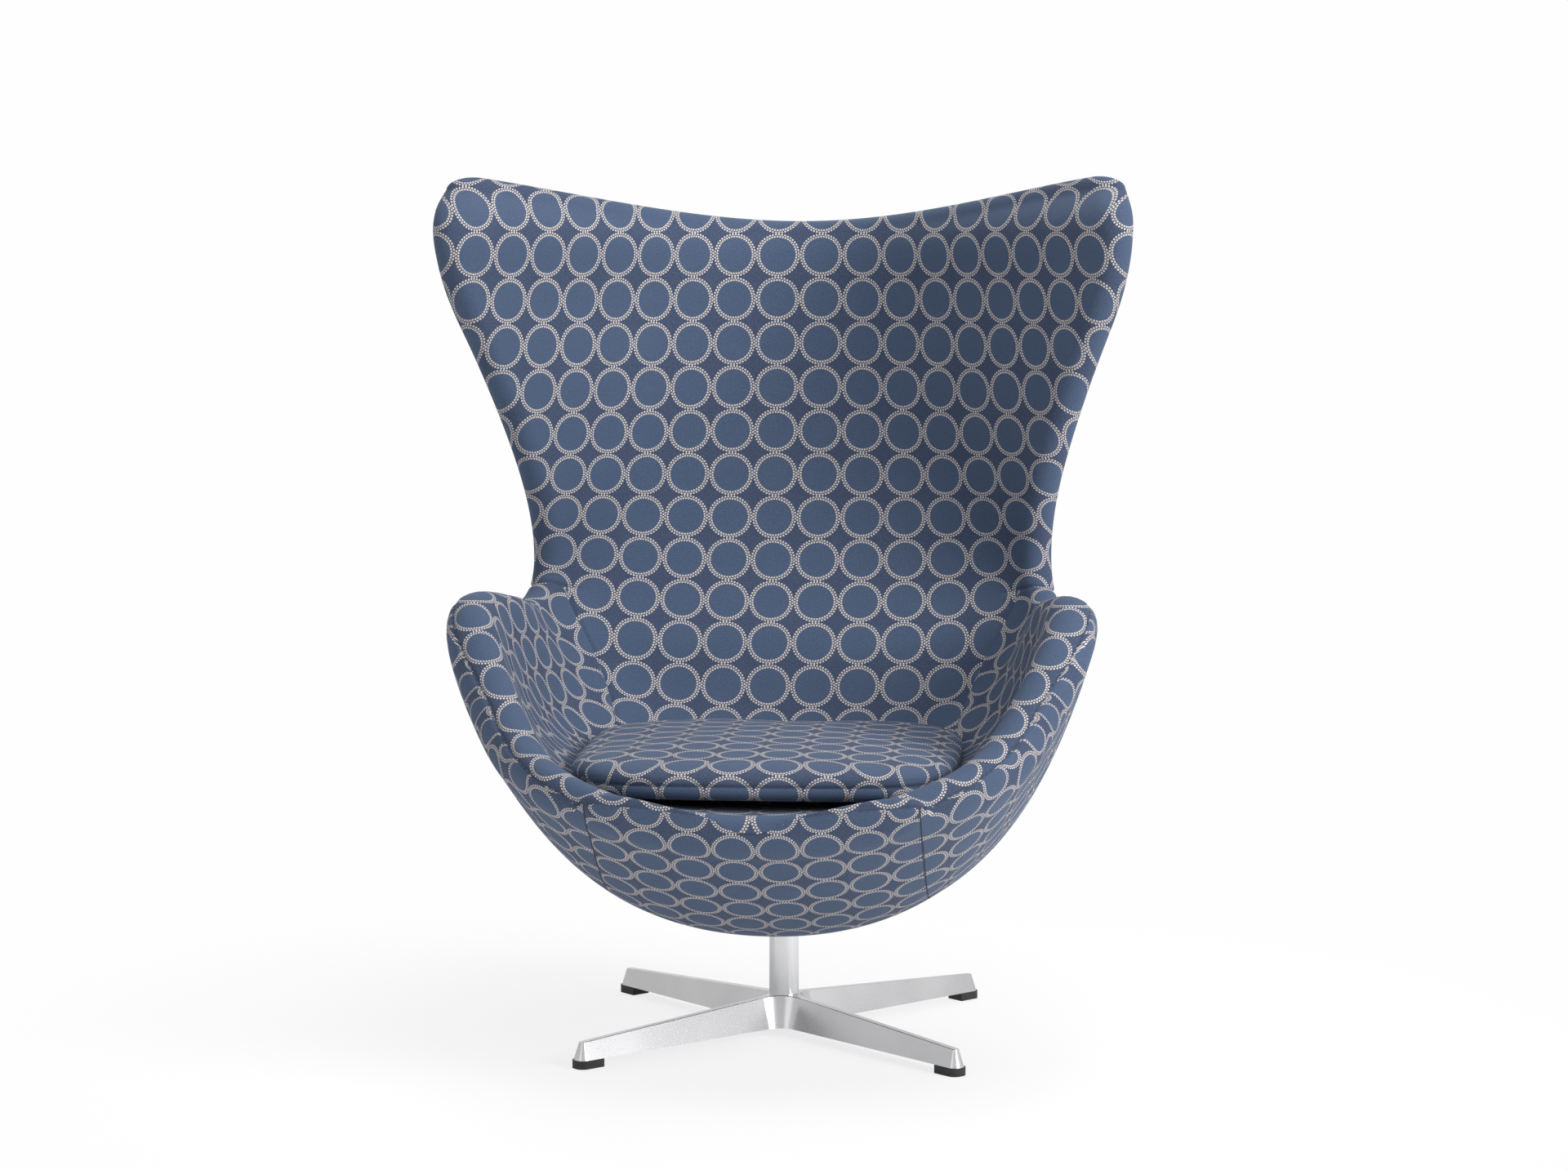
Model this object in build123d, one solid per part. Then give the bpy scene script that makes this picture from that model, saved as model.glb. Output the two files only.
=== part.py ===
"""Pod chair: a padded one-piece shell with wings and arms, which turns and tilts on a four-arm star base.

Millimetres. +Z is up and the sitter faces -Y. Everything is modelled round the column's axis and is
moved back at the end, so that the origin lies on the floor in the middle of the chair's outline.
"""

import os
from collections import namedtuple
from math import atan2, cos, hypot, radians, sin, tan

from build123d import *

# ---------------------------------------------------------------- driving dimensions
# The shell is drawn as flat ribs. Each rib is one curve across the chair, like a barrel hoop: it passes
# the middle of the back or belly at (back_y, back_z) and ends in the padded edge roll, whose centre is
# at (rim_x, rim_y, rim_z). pad is the upholstered thickness in the middle, roll the edge's half
# thickness, nose how far the edge rounds out past its centre, and lean the way the side faces there.
# The spreads say how far the curve runs straight from the middle, and hold how long the side stays straight.
Rib = namedtuple(
    "Rib", "back_y back_z rim_x rim_y rim_z pad lean roll nose outer_spread inner_spread hold"
)
RIBS = {
    "crest": Rib(284, 990, 388, 3, 1045, 38, 38, 19, 34, 0.38, 0.38, 0.50),
    "corner": Rib(281, 969, 399, -41, 1013, 42, 42, 22, 30, 0.38, 0.38, 0.50),
    "wing": Rib(278, 929, 400, -42, 954, 43, 46, 22, 22, 0.38, 0.38, 0.50),
    "ear": Rib(272, 849, 372, 2, 860, 44, 46, 22, 22, 0.40, 0.40, 0.50),
    "neck": Rib(260, 753, 336, 52, 753, 46, 46, 22, 22, 0.45, 0.45, 0.50),
    "lumbar": Rib(247, 664, 313, 88, 660, 53, 46, 22, 22, 0.55, 0.55, 0.45),
    "waist": Rib(236, 579, 307, 107, 591, 68, 46, 22, 22, 0.60, 0.60, 0.40),
    "join": Rib(226, 490, 312, 101, 546, 92, 50, 22, 22, 0.60, 0.60, 0.40),
    "elbow": Rib(212, 380, 326, 56, 520, 136, 66, 23, 23, 0.60, 0.60, 0.50),
    "seat_back": Rib(180, 262, 332, -16, 525, 168, 74, 26, 26, 0.61, 0.70, 0.55),
    "seat_rear": Rib(112, 175, 338, -100, 534, 196, 76, 29, 29, 0.67, 0.78, 0.57),
    "arm_tip": Rib(0, 138, 355, -178, 536, 212, 76, 31, 31, 0.69, 0.80, 0.57),
    "arm_front": Rib(-110, 147, 344, -240, 494, 202, 74, 32, 32, 0.66, 0.80, 0.56),
    "arm_foot": Rib(-208, 161, 304, -295, 418, 178, 66, 32, 36, 0.63, 0.76, 0.55),
    "knee": Rib(-300, 206, 258, -348, 368, 135, 52, 31, 45, 0.60, 0.66, 0.55),
    "lip": Rib(-365, 249, 196, -394, 342, 93, 34, 29, 60, 0.52, 0.58, 0.50),
    "lip_edge": Rib(-406, 283, 140, -420, 331, 58, 20, 26, 62, 0.50, 0.50, 0.50),
}
ROUND_OFF_STEPS = (30, 55, 72, 83)  # degrees round the half circle that closes each end of the shell
CREST_CORNER = 10  # how much the wings' corners draw in over the crest's round
LIP_CORNER = 90  # how much the lip narrows over its round
LIP_RISE = 20  # degrees that the lip points up

COVER = 1.5  # cloth with its thin backing
LAYER_GAP = 0.3  # glue line or looseness between one layer and the next
FOAM_ROOM = 0.9  # wadding between the foam and the cloth
SEAM_GAP = 1.5  # seam allowance that is turned in between two panels
SHELL_DEPTH = 10  # from the skin on the outside in to the rigid shell
SHELL_THICK = 8  # glass-fibre shell
GLUE_LINE = 1  # thick glue between the rigid shell and the mounting pad

# Panels. On the inside, the seam between the seat panel and each arm panel lies this far from the
# middle, rib by rib. Both panels end at the join, and the two ribs above it only shape them there. The
# rim seam, where inside and outside panels meet, lies this share of the way round the outer quarter of
# the edge roll.
ARM_SEAM_X = {
    "lumbar": 286,
    "waist": 280,
    "join": 285,
    "elbow": 262,
    "seat_back": 228,
    "seat_rear": 206,
    "arm_tip": 200,
    "arm_front": 196,
    "arm_foot": 190,
    "knee": 172,
    "lip": 138,
    "lip_edge": 96,
}
RIM_SEAM = 0.25
APRON_HALF_WIDTH = 190
APRON_REAR = -60

# Star base, measured from the column's axis and the floor
FOOT_RADIUS = 325  # to the tip of an arm
ARM_ANGLES = (45, 135, 225, 315)  # degrees; the arms point to the corners of the seat
GLIDE_HEIGHT = 10
HUB_TOP = 50
TIP_TOP = 31  # height of the ridge at the arm's tip
RIDGE_WIDTH = 9
FLANK_ANGLE = 17  # degrees that the arm's sides lean in
CROTCH_RADIUS = 22  # fillet in plan between neighbouring arms
TIP_CORNER = 10
RIDGE_ROUND = 1

GLIDE_LENGTH = 33
GLIDE_LIP = 1.2  # how far a glide stands out past the casting
GLIDE_PEG_RADIUS = 5
GLIDE_PEG = 8
SCREW_RADIUS = 2
SCREW_HEAD_RADIUS = 4
SCREW_HEAD = 2.4
SCREW_LENGTH = 20
SCREW_RECESS = 1.5
SCREW_ROOM = 0.2  # round the screw in its hole through the glide

# Column and swivel
COLUMN_RADIUS = 18.5
COLUMN_BORE = 15.5
COLUMN_FOOT = 12  # underside of the column, inside the hub
SPINDLE_RADIUS = 12.5
RUNNING = 0.05  # radial clearance of a shaft in a bush
BUSH_LENGTH = 26
LOWER_BUSH_HEIGHT = 62  # underside of the lower bush
THRUST_WASHER = 3
SPINDLE_TAIL = 9  # how far the spindle reaches below the lower bush
CIRCLIP = 1.4
CIRCLIP_DEPTH = 1.2  # depth of a circlip's groove
CIRCLIP_STAND = 2  # how far a circlip stands out past its shaft
CIRCLIP_MOUTH = 60  # degrees left open
CIRCLIP_PLAY = 0.1

# Tilt mechanism
PLATE = 6  # steel of the bracket and of the seat plate
SEAT_PLATE_HEIGHT = 184  # underside
TILT_ROOM = 15  # from the seat plate up to the bracket's floor
PIVOT_RISE = 27  # from the bracket's underside up to the tilt shaft
BRACKET_HEIGHT = 52
BRACKET_WIDTH = 92
BRACKET_REAR = 42
BRACKET_FRONT = 50
BRIDGE_FRONT = 100  # how far forward the spring's bridge reaches
BRIDGE_REAR = 52
CHEEK_STEP = 22  # how much higher the cheeks' underside is in front of the bracket's floor
TILT_SHAFT_RADIUS = 8
THRUST_GAP = 3  # from a cheek to the lug beside it, filled by the bush's flange
LUG_RADIUS = 20
BUSH_WALL = 3
BUSH_FLANGE = 3  # how far the flange stands out past the sleeve
SIDE_PLAY = 0.15
SHAFT_TAIL = 4  # shaft outside each lug, for the circlip
SEAT_PLATE_WIDTH = 190
SEAT_PLATE_FRONT = 118
SEAT_PLATE_REAR = 62
PLATE_CORNER = 14
SLOT_HALF_WIDTH = 24  # opening that the column has in the tilting shell
SLOT_FRONT = 24
SLOT_REAR = 44
COLLAR = 2.5  # wall of the trim collar in that opening
COLLAR_STAND = 1.5  # how far it stands out of the skin
SPRING_Y = -76
SPRING_RADIUS = 14
SPRING_WIRE = 5
SPRING_TURNS = 5.5
SPRING_PIN_RADIUS = 7
SPRING_PIN = 22
BUFFER_RADIUS = 8
REST_BUFFER = (37, 28)  # x and y
LIMIT_BUFFER = (30, -40)
LIMIT_BUFFER_HEIGHT = 3.5
BOLT_X = 76
BOLT_YS = (-92, 42)
BOLT_RADIUS = 4
BOLT_ROOM = 0.25  # round a bolt in the seat plate
BOLT_HEAD_RADIUS = 6.5
BOLT_HEAD = 5
BOLT_REACH = 7  # into the insert
HEX_RADIUS = 3
HEX_DEPTH = 3
INSERT_RADIUS = 6
INSERT_LENGTH = 8
CAVITY_MARGIN = 6
CAVITY_TOP = 284

# Seat cushion
CUSHION_FRONT_WIDTH = 436  # between the front corners, before they are rounded
CUSHION_REAR_WIDTH = 388
CUSHION_FRONT = -390
CUSHION_REAR = 26
CUSHION_BOW = 14  # how far each side bows out past its corners
CUSHION_CORNER = 115  # radius of the corners in plan
CUSHION_SEAM_HEIGHT = 368
CUSHION_RISE = 20  # from the seam up to the top edge
CUSHION_CROWN = 12  # how far the middle stands over the edge
CUSHION_EDGE = 15  # radius of the rounded top edge
SEAM_PINCH = 2.5  # how far the seam is pulled in
# Below the seam the cushion follows the dished seat; each pair is how far in and how far down
CUSHION_UNDERSIDE = ((0, 4), (6, 10), (28, 17.5), (68, 24.5))

# Where the column stands, behind the middle of the chair's outline
COLUMN_BACK = 83

# ---------------------------------------------------------------- worked out from the above
SEAT_PLATE_TOP = SEAT_PLATE_HEIGHT + PLATE
FLOOR_HEIGHT = SEAT_PLATE_TOP + TILT_ROOM  # underside of the bracket's floor
FLOOR_TOP = FLOOR_HEIGHT + PLATE
COLUMN_TOP = FLOOR_HEIGHT - THRUST_WASHER
PIVOT_HEIGHT = FLOOR_HEIGHT + PIVOT_RISE
CHEEK_OUTER = BRACKET_WIDTH / 2
CHEEK_INNER = CHEEK_OUTER - PLATE
LUG_INNER = CHEEK_OUTER + THRUST_GAP
LUG_OUTER = LUG_INNER + PLATE
BRACKET_TOP = FLOOR_HEIGHT + BRACKET_HEIGHT
BRIDGE_HEIGHT = BRACKET_TOP - PLATE  # underside of the bridge
RIDGE_FALL = (HUB_TOP - TIP_TOP) / FOOT_RADIUS  # drop of a ridge per millimetre outwards
PEG_PLACE = FOOT_RADIUS - GLIDE_LENGTH / 2  # from the column's axis to a glide's peg

# Fixed numbers of the geometry
QUARTER = 0.5523  # handle length of a Bezier that stands for a quarter circle
HALVINGS = 30  # steps of a search by halving
OVERALL_REACH = 1200  # further than the chair reaches, for cutting tools
Station = namedtuple("Station", "name rib shrink")


# ---------------------------------------------------------------- the shell's geometry
def split(curve, start, end):
    """The stretch of a cubic Bezier between two of its parameters, as four control points."""

    def blossom(*parameters):
        points = curve
        for t in parameters:
            points = [p * (1 - t) + q * t for p, q in zip(points, points[1:])]
        return points[0]

    return [
        blossom(start, start, start),
        blossom(start, start, end),
        blossom(start, end, end),
        blossom(end, end, end),
    ]


def parameter_at(curve, x):
    """Where a curve that runs outwards from the middle reaches x, by halving."""
    low, high = 0.0, 1.0
    for _ in range(HALVINGS):
        middle = (low + high) / 2
        if split(curve, 0, middle)[3].X < x:
            low = middle
        else:
            high = middle
    return low


def rib_curves(rib, inset=0.0, shrink=1.0, depth=0.0):
    """Right half of a rib in its own plane, drawn in by inset, as cubic Beziers in (x, reach).

    shrink thins the rib where the shell rounds off, past its last full rib, and depth goes further in
    from the thinned rib.
    """
    full_half = rib.pad / 2
    half = (full_half - inset) * shrink - depth
    roll = (rib.roll - inset) * shrink - depth
    nose = (rib.nose - inset) * shrink - depth
    low = full_half - half
    high = full_half + half
    reach = hypot(rib.back_y - rib.rim_y, rib.rim_z - rib.back_z)
    lean = radians(rib.lean)
    along = Vector(cos(lean), sin(lean))
    across = Vector(-sin(lean), cos(lean))
    rim = Vector(rib.rim_x, reach)
    outside = rim - across * roll
    inside = rim + across * roll
    tip = rim + along * nose
    outer = [
        Vector(0, low),
        Vector(rib.outer_spread * rib.rim_x, low),
        outside - along * rib.hold * reach,
        outside,
    ]
    nose_out = [outside, outside + along * nose * QUARTER, tip - across * roll * QUARTER, tip]
    nose_in = [tip, tip + across * roll * QUARTER, inside + along * nose * QUARTER, inside]
    inner = [
        inside,
        inside - along * rib.hold * max(reach - full_half, 1),
        Vector(rib.inner_spread * rib.rim_x, high),
        Vector(0, high),
    ]
    return {"outer": outer, "nose_out": nose_out, "nose_in": nose_in, "inner": inner}


def place(rib, curve, side=1):
    """Bezier control points from the rib's plane into space; side -1 mirrors them to the left."""
    tilt = atan2(rib.rim_z - rib.back_z, rib.back_y - rib.rim_y)
    return [
        (side * point.X, rib.back_y - point.Y * cos(tilt), rib.back_z + point.Y * sin(tilt))
        for point in curve
    ]


def rounded_end(name, inset, direction, corner):
    """Stations past an end rib: it is moved on in steps and drawn in over a half circle."""
    rib = RIBS[name]
    ends = []
    for angle in ROUND_OFF_STEPS:
        past = (rib.pad / 2 - inset) * sin(radians(angle))
        moved = rib._replace(
            back_y=rib.back_y + past * direction[0],
            back_z=rib.back_z + past * direction[1],
            rim_x=rib.rim_x - corner * (1 - cos(radians(angle))),
            rim_y=rib.rim_y + past * direction[0],
            rim_z=rib.rim_z + past * direction[1],
        )
        ends.append(Station(name, moved, cos(radians(angle))))
    return ends


def stations(first="crest", last="lip_edge", inset=0.0, rounded=True):
    """The ribs from first to last, with the rounded ends where the shell ends."""
    names = list(RIBS)
    span = names[names.index(first) : names.index(last) + 1]
    chosen = [Station(name, RIBS[name], 1.0) for name in span]
    if rounded and first == "crest":
        crest = RIBS["crest"]
        tilt = atan2(crest.rim_z - crest.back_z, crest.back_y - crest.rim_y)
        chosen = rounded_end("crest", inset, (sin(tilt), cos(tilt)), CREST_CORNER)[::-1] + chosen
    if rounded and last == "lip_edge":
        forward = (-cos(radians(LIP_RISE)), sin(radians(LIP_RISE)))
        chosen += rounded_end("lip_edge", inset, forward, LIP_CORNER)
    return chosen


def loft_sections(sections):
    """A solid through closed sections, each a list of Bezier or line control points."""
    wires = []
    for section in sections:
        edges = [Bezier(*points) if len(points) > 2 else Line(*points) for points in section]
        wires.append(Wire(edges))
    return Solid.make_loft(wires)


def shell_body(inset, first="crest"):
    """The whole padded shape drawn in by inset (out by a negative one), as one solid."""
    sections = []
    for station in stations(first, inset=inset):
        curves = rib_curves(station.rib, inset, station.shrink)
        names = ("outer", "nose_out", "nose_in", "inner")
        right = [place(station.rib, curves[name]) for name in names]
        left = [place(station.rib, curves[name][::-1], -1) for name in names[::-1]]
        sections.append(right + left)
    return loft_sections(sections)


def strip_section(outer_path, inner_path):
    """A closed thin section between two paths of curves that run the same way."""
    end = [outer_path[-1][-1], inner_path[-1][-1]]
    start = [inner_path[0][0], outer_path[0][0]]
    return outer_path + [end] + [curve[::-1] for curve in inner_path[::-1]] + [start]


def whole_path(rib, curves):
    """A path of right-half curves that starts in the middle, grown to run from left to right."""
    left = [place(rib, curve[::-1], -1) for curve in curves[::-1]]
    return left + [place(rib, curve) for curve in curves]


def shell_strip(outer_inset, inner_inset, rim_growth=0.0):
    """A strip that follows the outside curve at two depths, for the rigid shell and its pocket."""
    sections = []
    for station in stations(rounded=False):
        lean = radians(station.rib.lean)
        growth = Vector(cos(lean), sin(lean)) * rim_growth
        paths = []
        for inset in (outer_inset, inner_inset):
            curve = rib_curves(station.rib, inset)["outer"]
            paths.append(whole_path(station.rib, [curve[:3] + [curve[3] + growth]]))
        sections.append(strip_section(*paths))
    return loft_sections(sections)


def column_slot(growth, bottom, top):
    """The opening for the column, long from front to back because the shell tilts, as a prism."""
    radius = SLOT_HALF_WIDTH + growth
    length = SLOT_FRONT + SLOT_REAR + 2 * growth
    outline = Pos(0, (SLOT_REAR - SLOT_FRONT) / 2) * Rot(0, 0, 90) * SlotOverall(length, 2 * radius)
    return Pos(0, 0, bottom) * extrude(outline, top - bottom)


# ---------------------------------------------------------------- upholstery
def cloth(chosen, curves_at, whole_width=True):
    """A panel COVER thick: curves_at picks from a rib's right-half curves, station by station."""
    sections = []
    for station in chosen:
        paths = []
        for depth in (0.0, COVER):
            curves = curves_at(station, rib_curves(station.rib, 0.0, station.shrink, depth))
            if whole_width:
                paths.append(whole_path(station.rib, curves))
            else:
                paths.append([place(station.rib, curve) for curve in curves])
        sections.append(strip_section(*paths))
    return loft_sections(sections)


def roll_to_seam(station, curves):
    """From the inside edge of the roll, over it, to the rim seam."""
    seam_share = SEAM_GAP / 2 / station.rib.nose
    past_tip = split(curves["nose_out"], RIM_SEAM + seam_share, 1)
    return [curves["nose_in"][::-1], past_tip[::-1]]


def arm_seam(station, curve, growth):
    """Where the seam between the back panel and an arm panel crosses the inside curve."""
    narrowing = station.rib.rim_x / RIBS[station.name].rim_x
    return parameter_at(curve, ARM_SEAM_X[station.name] * narrowing + growth)


def beyond_join(side):
    """Everything above the join rib's plane, or below it for side -1."""
    join = RIBS["join"]
    tilt = atan2(join.rim_z - join.back_z, join.back_y - join.rim_y)
    plane = Plane(
        origin=(0, join.back_y, join.back_z),
        x_dir=(1, 0, 0),
        z_dir=(0, sin(tilt), cos(tilt)),
    )
    return plane * Pos(0, 0, side * OVERALL_REACH) * Box(*[2 * OVERALL_REACH] * 3)


def make_back_panel():
    """Inside of the back, wrapped over the edge roll, down to the waist.

    It is lofted well past the join and cut off there, so that it follows the foam to its end.
    """

    def whole(station, curves):
        return [curves["inner"][::-1]] + roll_to_seam(station, curves)

    return cloth(stations(last="knee"), whole) - beyond_join(-1)


def make_seat_panel():
    """Cloth under and behind the cushion, between the arm seams, lofted on past the join and cut off."""

    def middle(station, curves):
        curve = curves["inner"][::-1]
        return [split(curve, 0, arm_seam(station, curve, -SEAM_GAP / 2))]

    return cloth(stations(first="lumbar"), middle) - beyond_join(1)


def make_arm_panel():
    """Right arm: from the seam inside, over the roll to the rim seam, and down round the lip.

    It too is lofted on past the join and cut off.
    """

    def whole(station, curves):
        curve = curves["inner"][::-1]
        start = arm_seam(station, curve, SEAM_GAP / 2)
        return [split(curve, start, 1)] + roll_to_seam(station, curves)

    return cloth(stations(first="lumbar"), whole, whole_width=False) - beyond_join(1)


def outside_skin():
    """All the cloth outside the rim seam."""

    def chosen(station, curves):
        seam_share = SEAM_GAP / 2 / station.rib.nose
        return [curves["outer"], split(curves["nose_out"], 0, RIM_SEAM - seam_share)]

    return cloth(stations(), chosen)


def apron_block(growth):
    """The space under the lip that the apron panel fills."""
    width = 2 * (APRON_HALF_WIDTH + growth)
    front = RIBS["lip_edge"].back_y - RIBS["lip_edge"].pad
    rear = APRON_REAR + growth
    top = RIBS["join"].rim_z
    return Pos(0, (front + rear) / 2, top / 2) * Box(width, rear - front, top)


def cut_slot():
    """The column's opening with room for the collar, through every layer of the shell."""
    return column_slot(COLLAR + LAYER_GAP, 0, CAVITY_TOP)


def plate_block(margin, top):
    """The space over the seat plate's outline, from the floor up to a height."""
    width = SEAT_PLATE_WIDTH + 2 * margin
    length = SEAT_PLATE_FRONT + SEAT_PLATE_REAR + 2 * margin
    return Pos(0, (SEAT_PLATE_REAR - SEAT_PLATE_FRONT) / 2, top / 2) * Box(width, length, top)


def inside_shell(gap):
    """The space on the sitter's side of the rigid shell, a gap away from it, below the waist."""
    return shell_body(SHELL_DEPTH + SHELL_THICK + gap, first="waist")


def make_foam():
    """Moulded foam round the rigid shell, hollow where the mechanism sits."""
    pocket = shell_strip(
        SHELL_DEPTH - LAYER_GAP, SHELL_DEPTH + SHELL_THICK + LAYER_GAP, rim_growth=LAYER_GAP
    )
    cavity = plate_block(CAVITY_MARGIN, CAVITY_TOP) & inside_shell(LAYER_GAP)
    return shell_body(COVER + FOAM_ROOM) - pocket - cavity - cut_slot()


def make_mounting_pad():
    """Block between the rigid shell and the seat plate, bored for the threaded inserts."""
    pad = (plate_block(0, SEAT_PLATE_HEIGHT) & inside_shell(GLUE_LINE)) - cut_slot()
    for x, y in bolt_places():
        pad -= Pos(x, y, SEAT_PLATE_HEIGHT - INSERT_LENGTH / 2) * Cylinder(INSERT_RADIUS, INSERT_LENGTH)
    return pad


def make_collar():
    """Plastic trim that lines the column's opening and stands a little out of the skin."""
    ring = column_slot(COLLAR, 0, SEAT_PLATE_HEIGHT) - column_slot(0, 0, SEAT_PLATE_HEIGHT)
    return ring & shell_body(-COLLAR_STAND, first="waist")


# ---------------------------------------------------------------- cushion
def cushion_plan(inset):
    """Plan of the cushion: narrower at the rear, with bowed sides and round corners."""
    front_x = CUSHION_FRONT_WIDTH / 2 - inset
    rear_x = CUSHION_REAR_WIDTH / 2 - inset
    front = CUSHION_FRONT + inset
    rear = CUSHION_REAR - inset
    side_x = (front_x + rear_x) / 2 + CUSHION_BOW
    side_y = (front + rear) / 2
    sides = [
        ThreePointArc((front_x, front), (side_x, side_y), (rear_x, rear)),
        ThreePointArc((rear_x, rear), (0, rear + CUSHION_BOW), (-rear_x, rear)),
        ThreePointArc((-rear_x, rear), (-side_x, side_y), (-front_x, front)),
        ThreePointArc((-front_x, front), (0, front - CUSHION_BOW), (front_x, front)),
    ]
    plan = make_face(sides)
    return fillet(plan.vertices(), CUSHION_CORNER - inset)


def crown_ball(inset):
    """The large ball whose top is the cushion's crown."""
    half_width = CUSHION_FRONT_WIDTH / 2
    radius = (half_width**2 + CUSHION_CROWN**2) / (2 * CUSHION_CROWN)
    top = CUSHION_SEAM_HEIGHT + CUSHION_RISE + CUSHION_CROWN
    middle = (CUSHION_FRONT + CUSHION_REAR) / 2
    return Pos(0, middle, top - radius) * Sphere(radius - inset)


def cushion_halves(inset, pinched=True):
    """The cushion above and below its seam, drawn in by inset.

    Where it isn't pinched, its sides stand straight over the seam's outline.
    """
    drawn_in = inset if pinched else inset + SEAM_PINCH
    plan = Pos(0, 0, CUSHION_SEAM_HEIGHT) * cushion_plan(drawn_in)
    upper = extrude(plan, CUSHION_RISE + CUSHION_CROWN) & crown_ball(inset)
    upper = fillet(upper.faces().sort_by(Axis.Z)[-1].edges(), CUSHION_EDGE - drawn_in)
    if pinched:
        upper = chamfer(upper.faces().sort_by(Axis.Z)[0].edges(), SEAM_PINCH)
    outlines = [Pos(0, 0, CUSHION_SEAM_HEIGHT) * cushion_plan(inset + SEAM_PINCH)]
    for narrowing, drop in CUSHION_UNDERSIDE:
        height = CUSHION_SEAM_HEIGHT - drop + inset
        outlines.append(Pos(0, 0, height) * cushion_plan(drawn_in + narrowing))
    lower = loft(outlines, ruled=True)
    return upper, lower


def make_cushion():
    """Foam core and the two halves of its cover, which meet at the seam."""
    core_upper, core_lower = cushion_halves(COVER + LAYER_GAP, pinched=False)
    top_outside, base_outside = cushion_halves(0)
    top_inside, base_inside = cushion_halves(COVER)
    return core_upper + core_lower, top_outside - top_inside, base_outside - base_inside


# ---------------------------------------------------------------- base
def arm_half_width(ridge_height):
    """Half the width of an arm's foot where its ridge has this height, from the flank's lean."""
    return RIDGE_WIDTH / 2 + (ridge_height - GLIDE_HEIGHT) * tan(radians(FLANK_ANGLE))


def arm_plan(start, growth):
    """Plan of one arm from start out to the tip, along X."""
    inner = arm_half_width(HUB_TOP - start * RIDGE_FALL) + growth
    outer = arm_half_width(TIP_TOP) + growth
    end = FOOT_RADIUS + growth
    return Polygon((start, -inner), (end, -outer), (end, outer), (start, inner), align=None)


def bar(radius, bottom, top):
    """A round bar along Z between two heights."""
    return Pos(0, 0, (bottom + top) / 2) * Cylinder(radius, top - bottom)


def tube(outer_radius, inner_radius, bottom, top):
    """A round tube along Z between two heights."""
    return bar(outer_radius, bottom, top) - bar(inner_radius, bottom, top)


def block(half_width, front, rear, bottom, top):
    """A box that is symmetric about the middle, from front to rear and from bottom to top."""
    middle = Pos(0, (front + rear) / 2, (bottom + top) / 2)
    return middle * Box(2 * half_width, rear - front, top - bottom)


def make_star():
    """Cast star: four arms with sloping ridges and leaning flanks, which meet in a hub."""
    plan = Sketch() + [Rot(0, 0, angle) * arm_plan(0, 0) for angle in ARM_ANGLES]
    crotches = [corner for corner in plan.vertices() if corner.center().length < FOOT_RADIUS / 2]
    plan = fillet(crotches, CROTCH_RADIUS)
    tips = [corner for corner in plan.vertices() if corner.center().length >= FOOT_RADIUS]
    plan = fillet(tips, TIP_CORNER)
    rise = HUB_TOP - GLIDE_HEIGHT
    star = Pos(0, 0, GLIDE_HEIGHT) * extrude(plan, rise, taper=FLANK_ANGLE)
    beyond = FOOT_RADIUS + rise
    sky = HUB_TOP + rise
    above = Polygon(
        (0, HUB_TOP), (beyond, HUB_TOP - beyond * RIDGE_FALL), (beyond, sky), (0, sky), align=None
    )
    for angle in ARM_ANGLES:
        star -= Rot(0, 0, angle) * extrude(Plane.XZ * above, 2 * rise, both=True)
    ridges = [edge for edge in star.edges() if edge.bounding_box().min.Z > GLIDE_HEIGHT + RIDGE_ROUND]
    star = fillet(ridges, RIDGE_ROUND)
    star -= bar(COLUMN_RADIUS, COLUMN_FOOT, sky)
    for angle in ARM_ANGLES:
        place_peg = Rot(0, 0, angle) * Pos(PEG_PLACE, 0)
        star -= place_peg * bar(GLIDE_PEG_RADIUS, GLIDE_HEIGHT, GLIDE_HEIGHT + GLIDE_PEG)
        star -= place_peg * bar(SCREW_RADIUS, GLIDE_HEIGHT, SCREW_RECESS + SCREW_LENGTH)
    return star


def glide_screw(growth):
    """Countersunk screw that points up, with its head in the glide."""
    head = Cone(SCREW_HEAD_RADIUS + growth, SCREW_RADIUS + growth, SCREW_HEAD)
    shank = bar(SCREW_RADIUS + growth, SCREW_RECESS, SCREW_RECESS + SCREW_LENGTH)
    return Pos(0, 0, SCREW_RECESS + SCREW_HEAD / 2) * head + shank


def make_glide(angle):
    """Plastic glide under an arm's tip, with a peg up into the casting and the screw's hole."""
    plan = arm_plan(FOOT_RADIUS - GLIDE_LENGTH, GLIDE_LIP)
    tips = [corner for corner in plan.vertices() if corner.X > FOOT_RADIUS]
    plan = fillet(tips, TIP_CORNER)
    glide = extrude(plan, GLIDE_HEIGHT)
    centre = Pos(PEG_PLACE, 0)
    glide += centre * bar(GLIDE_PEG_RADIUS, 0, GLIDE_HEIGHT + GLIDE_PEG)
    glide -= centre * bar(SCREW_HEAD_RADIUS + SCREW_ROOM, 0, SCREW_RECESS)
    glide -= centre * glide_screw(SCREW_ROOM)
    return Rot(0, 0, angle) * glide


# ---------------------------------------------------------------- column and swivel
def circlip(shaft_radius, bottom):
    """Open spring ring in its groove on a shaft along Z."""
    ring = tube(
        shaft_radius + CIRCLIP_STAND, shaft_radius - CIRCLIP_DEPTH, bottom, bottom + CIRCLIP
    )
    reach = 2 * shaft_radius
    spread = reach * tan(radians(CIRCLIP_MOUTH / 2))
    mouth = extrude(Polygon((0, 0), (reach, -spread), (reach, spread), align=None), CIRCLIP)
    return ring - Pos(0, 0, bottom) * mouth


def shaft_groove(shaft_radius, bottom):
    """What a circlip's groove takes off a shaft along Z."""
    return tube(2 * shaft_radius, shaft_radius - CIRCLIP_DEPTH, bottom, bottom + CIRCLIP)


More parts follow.
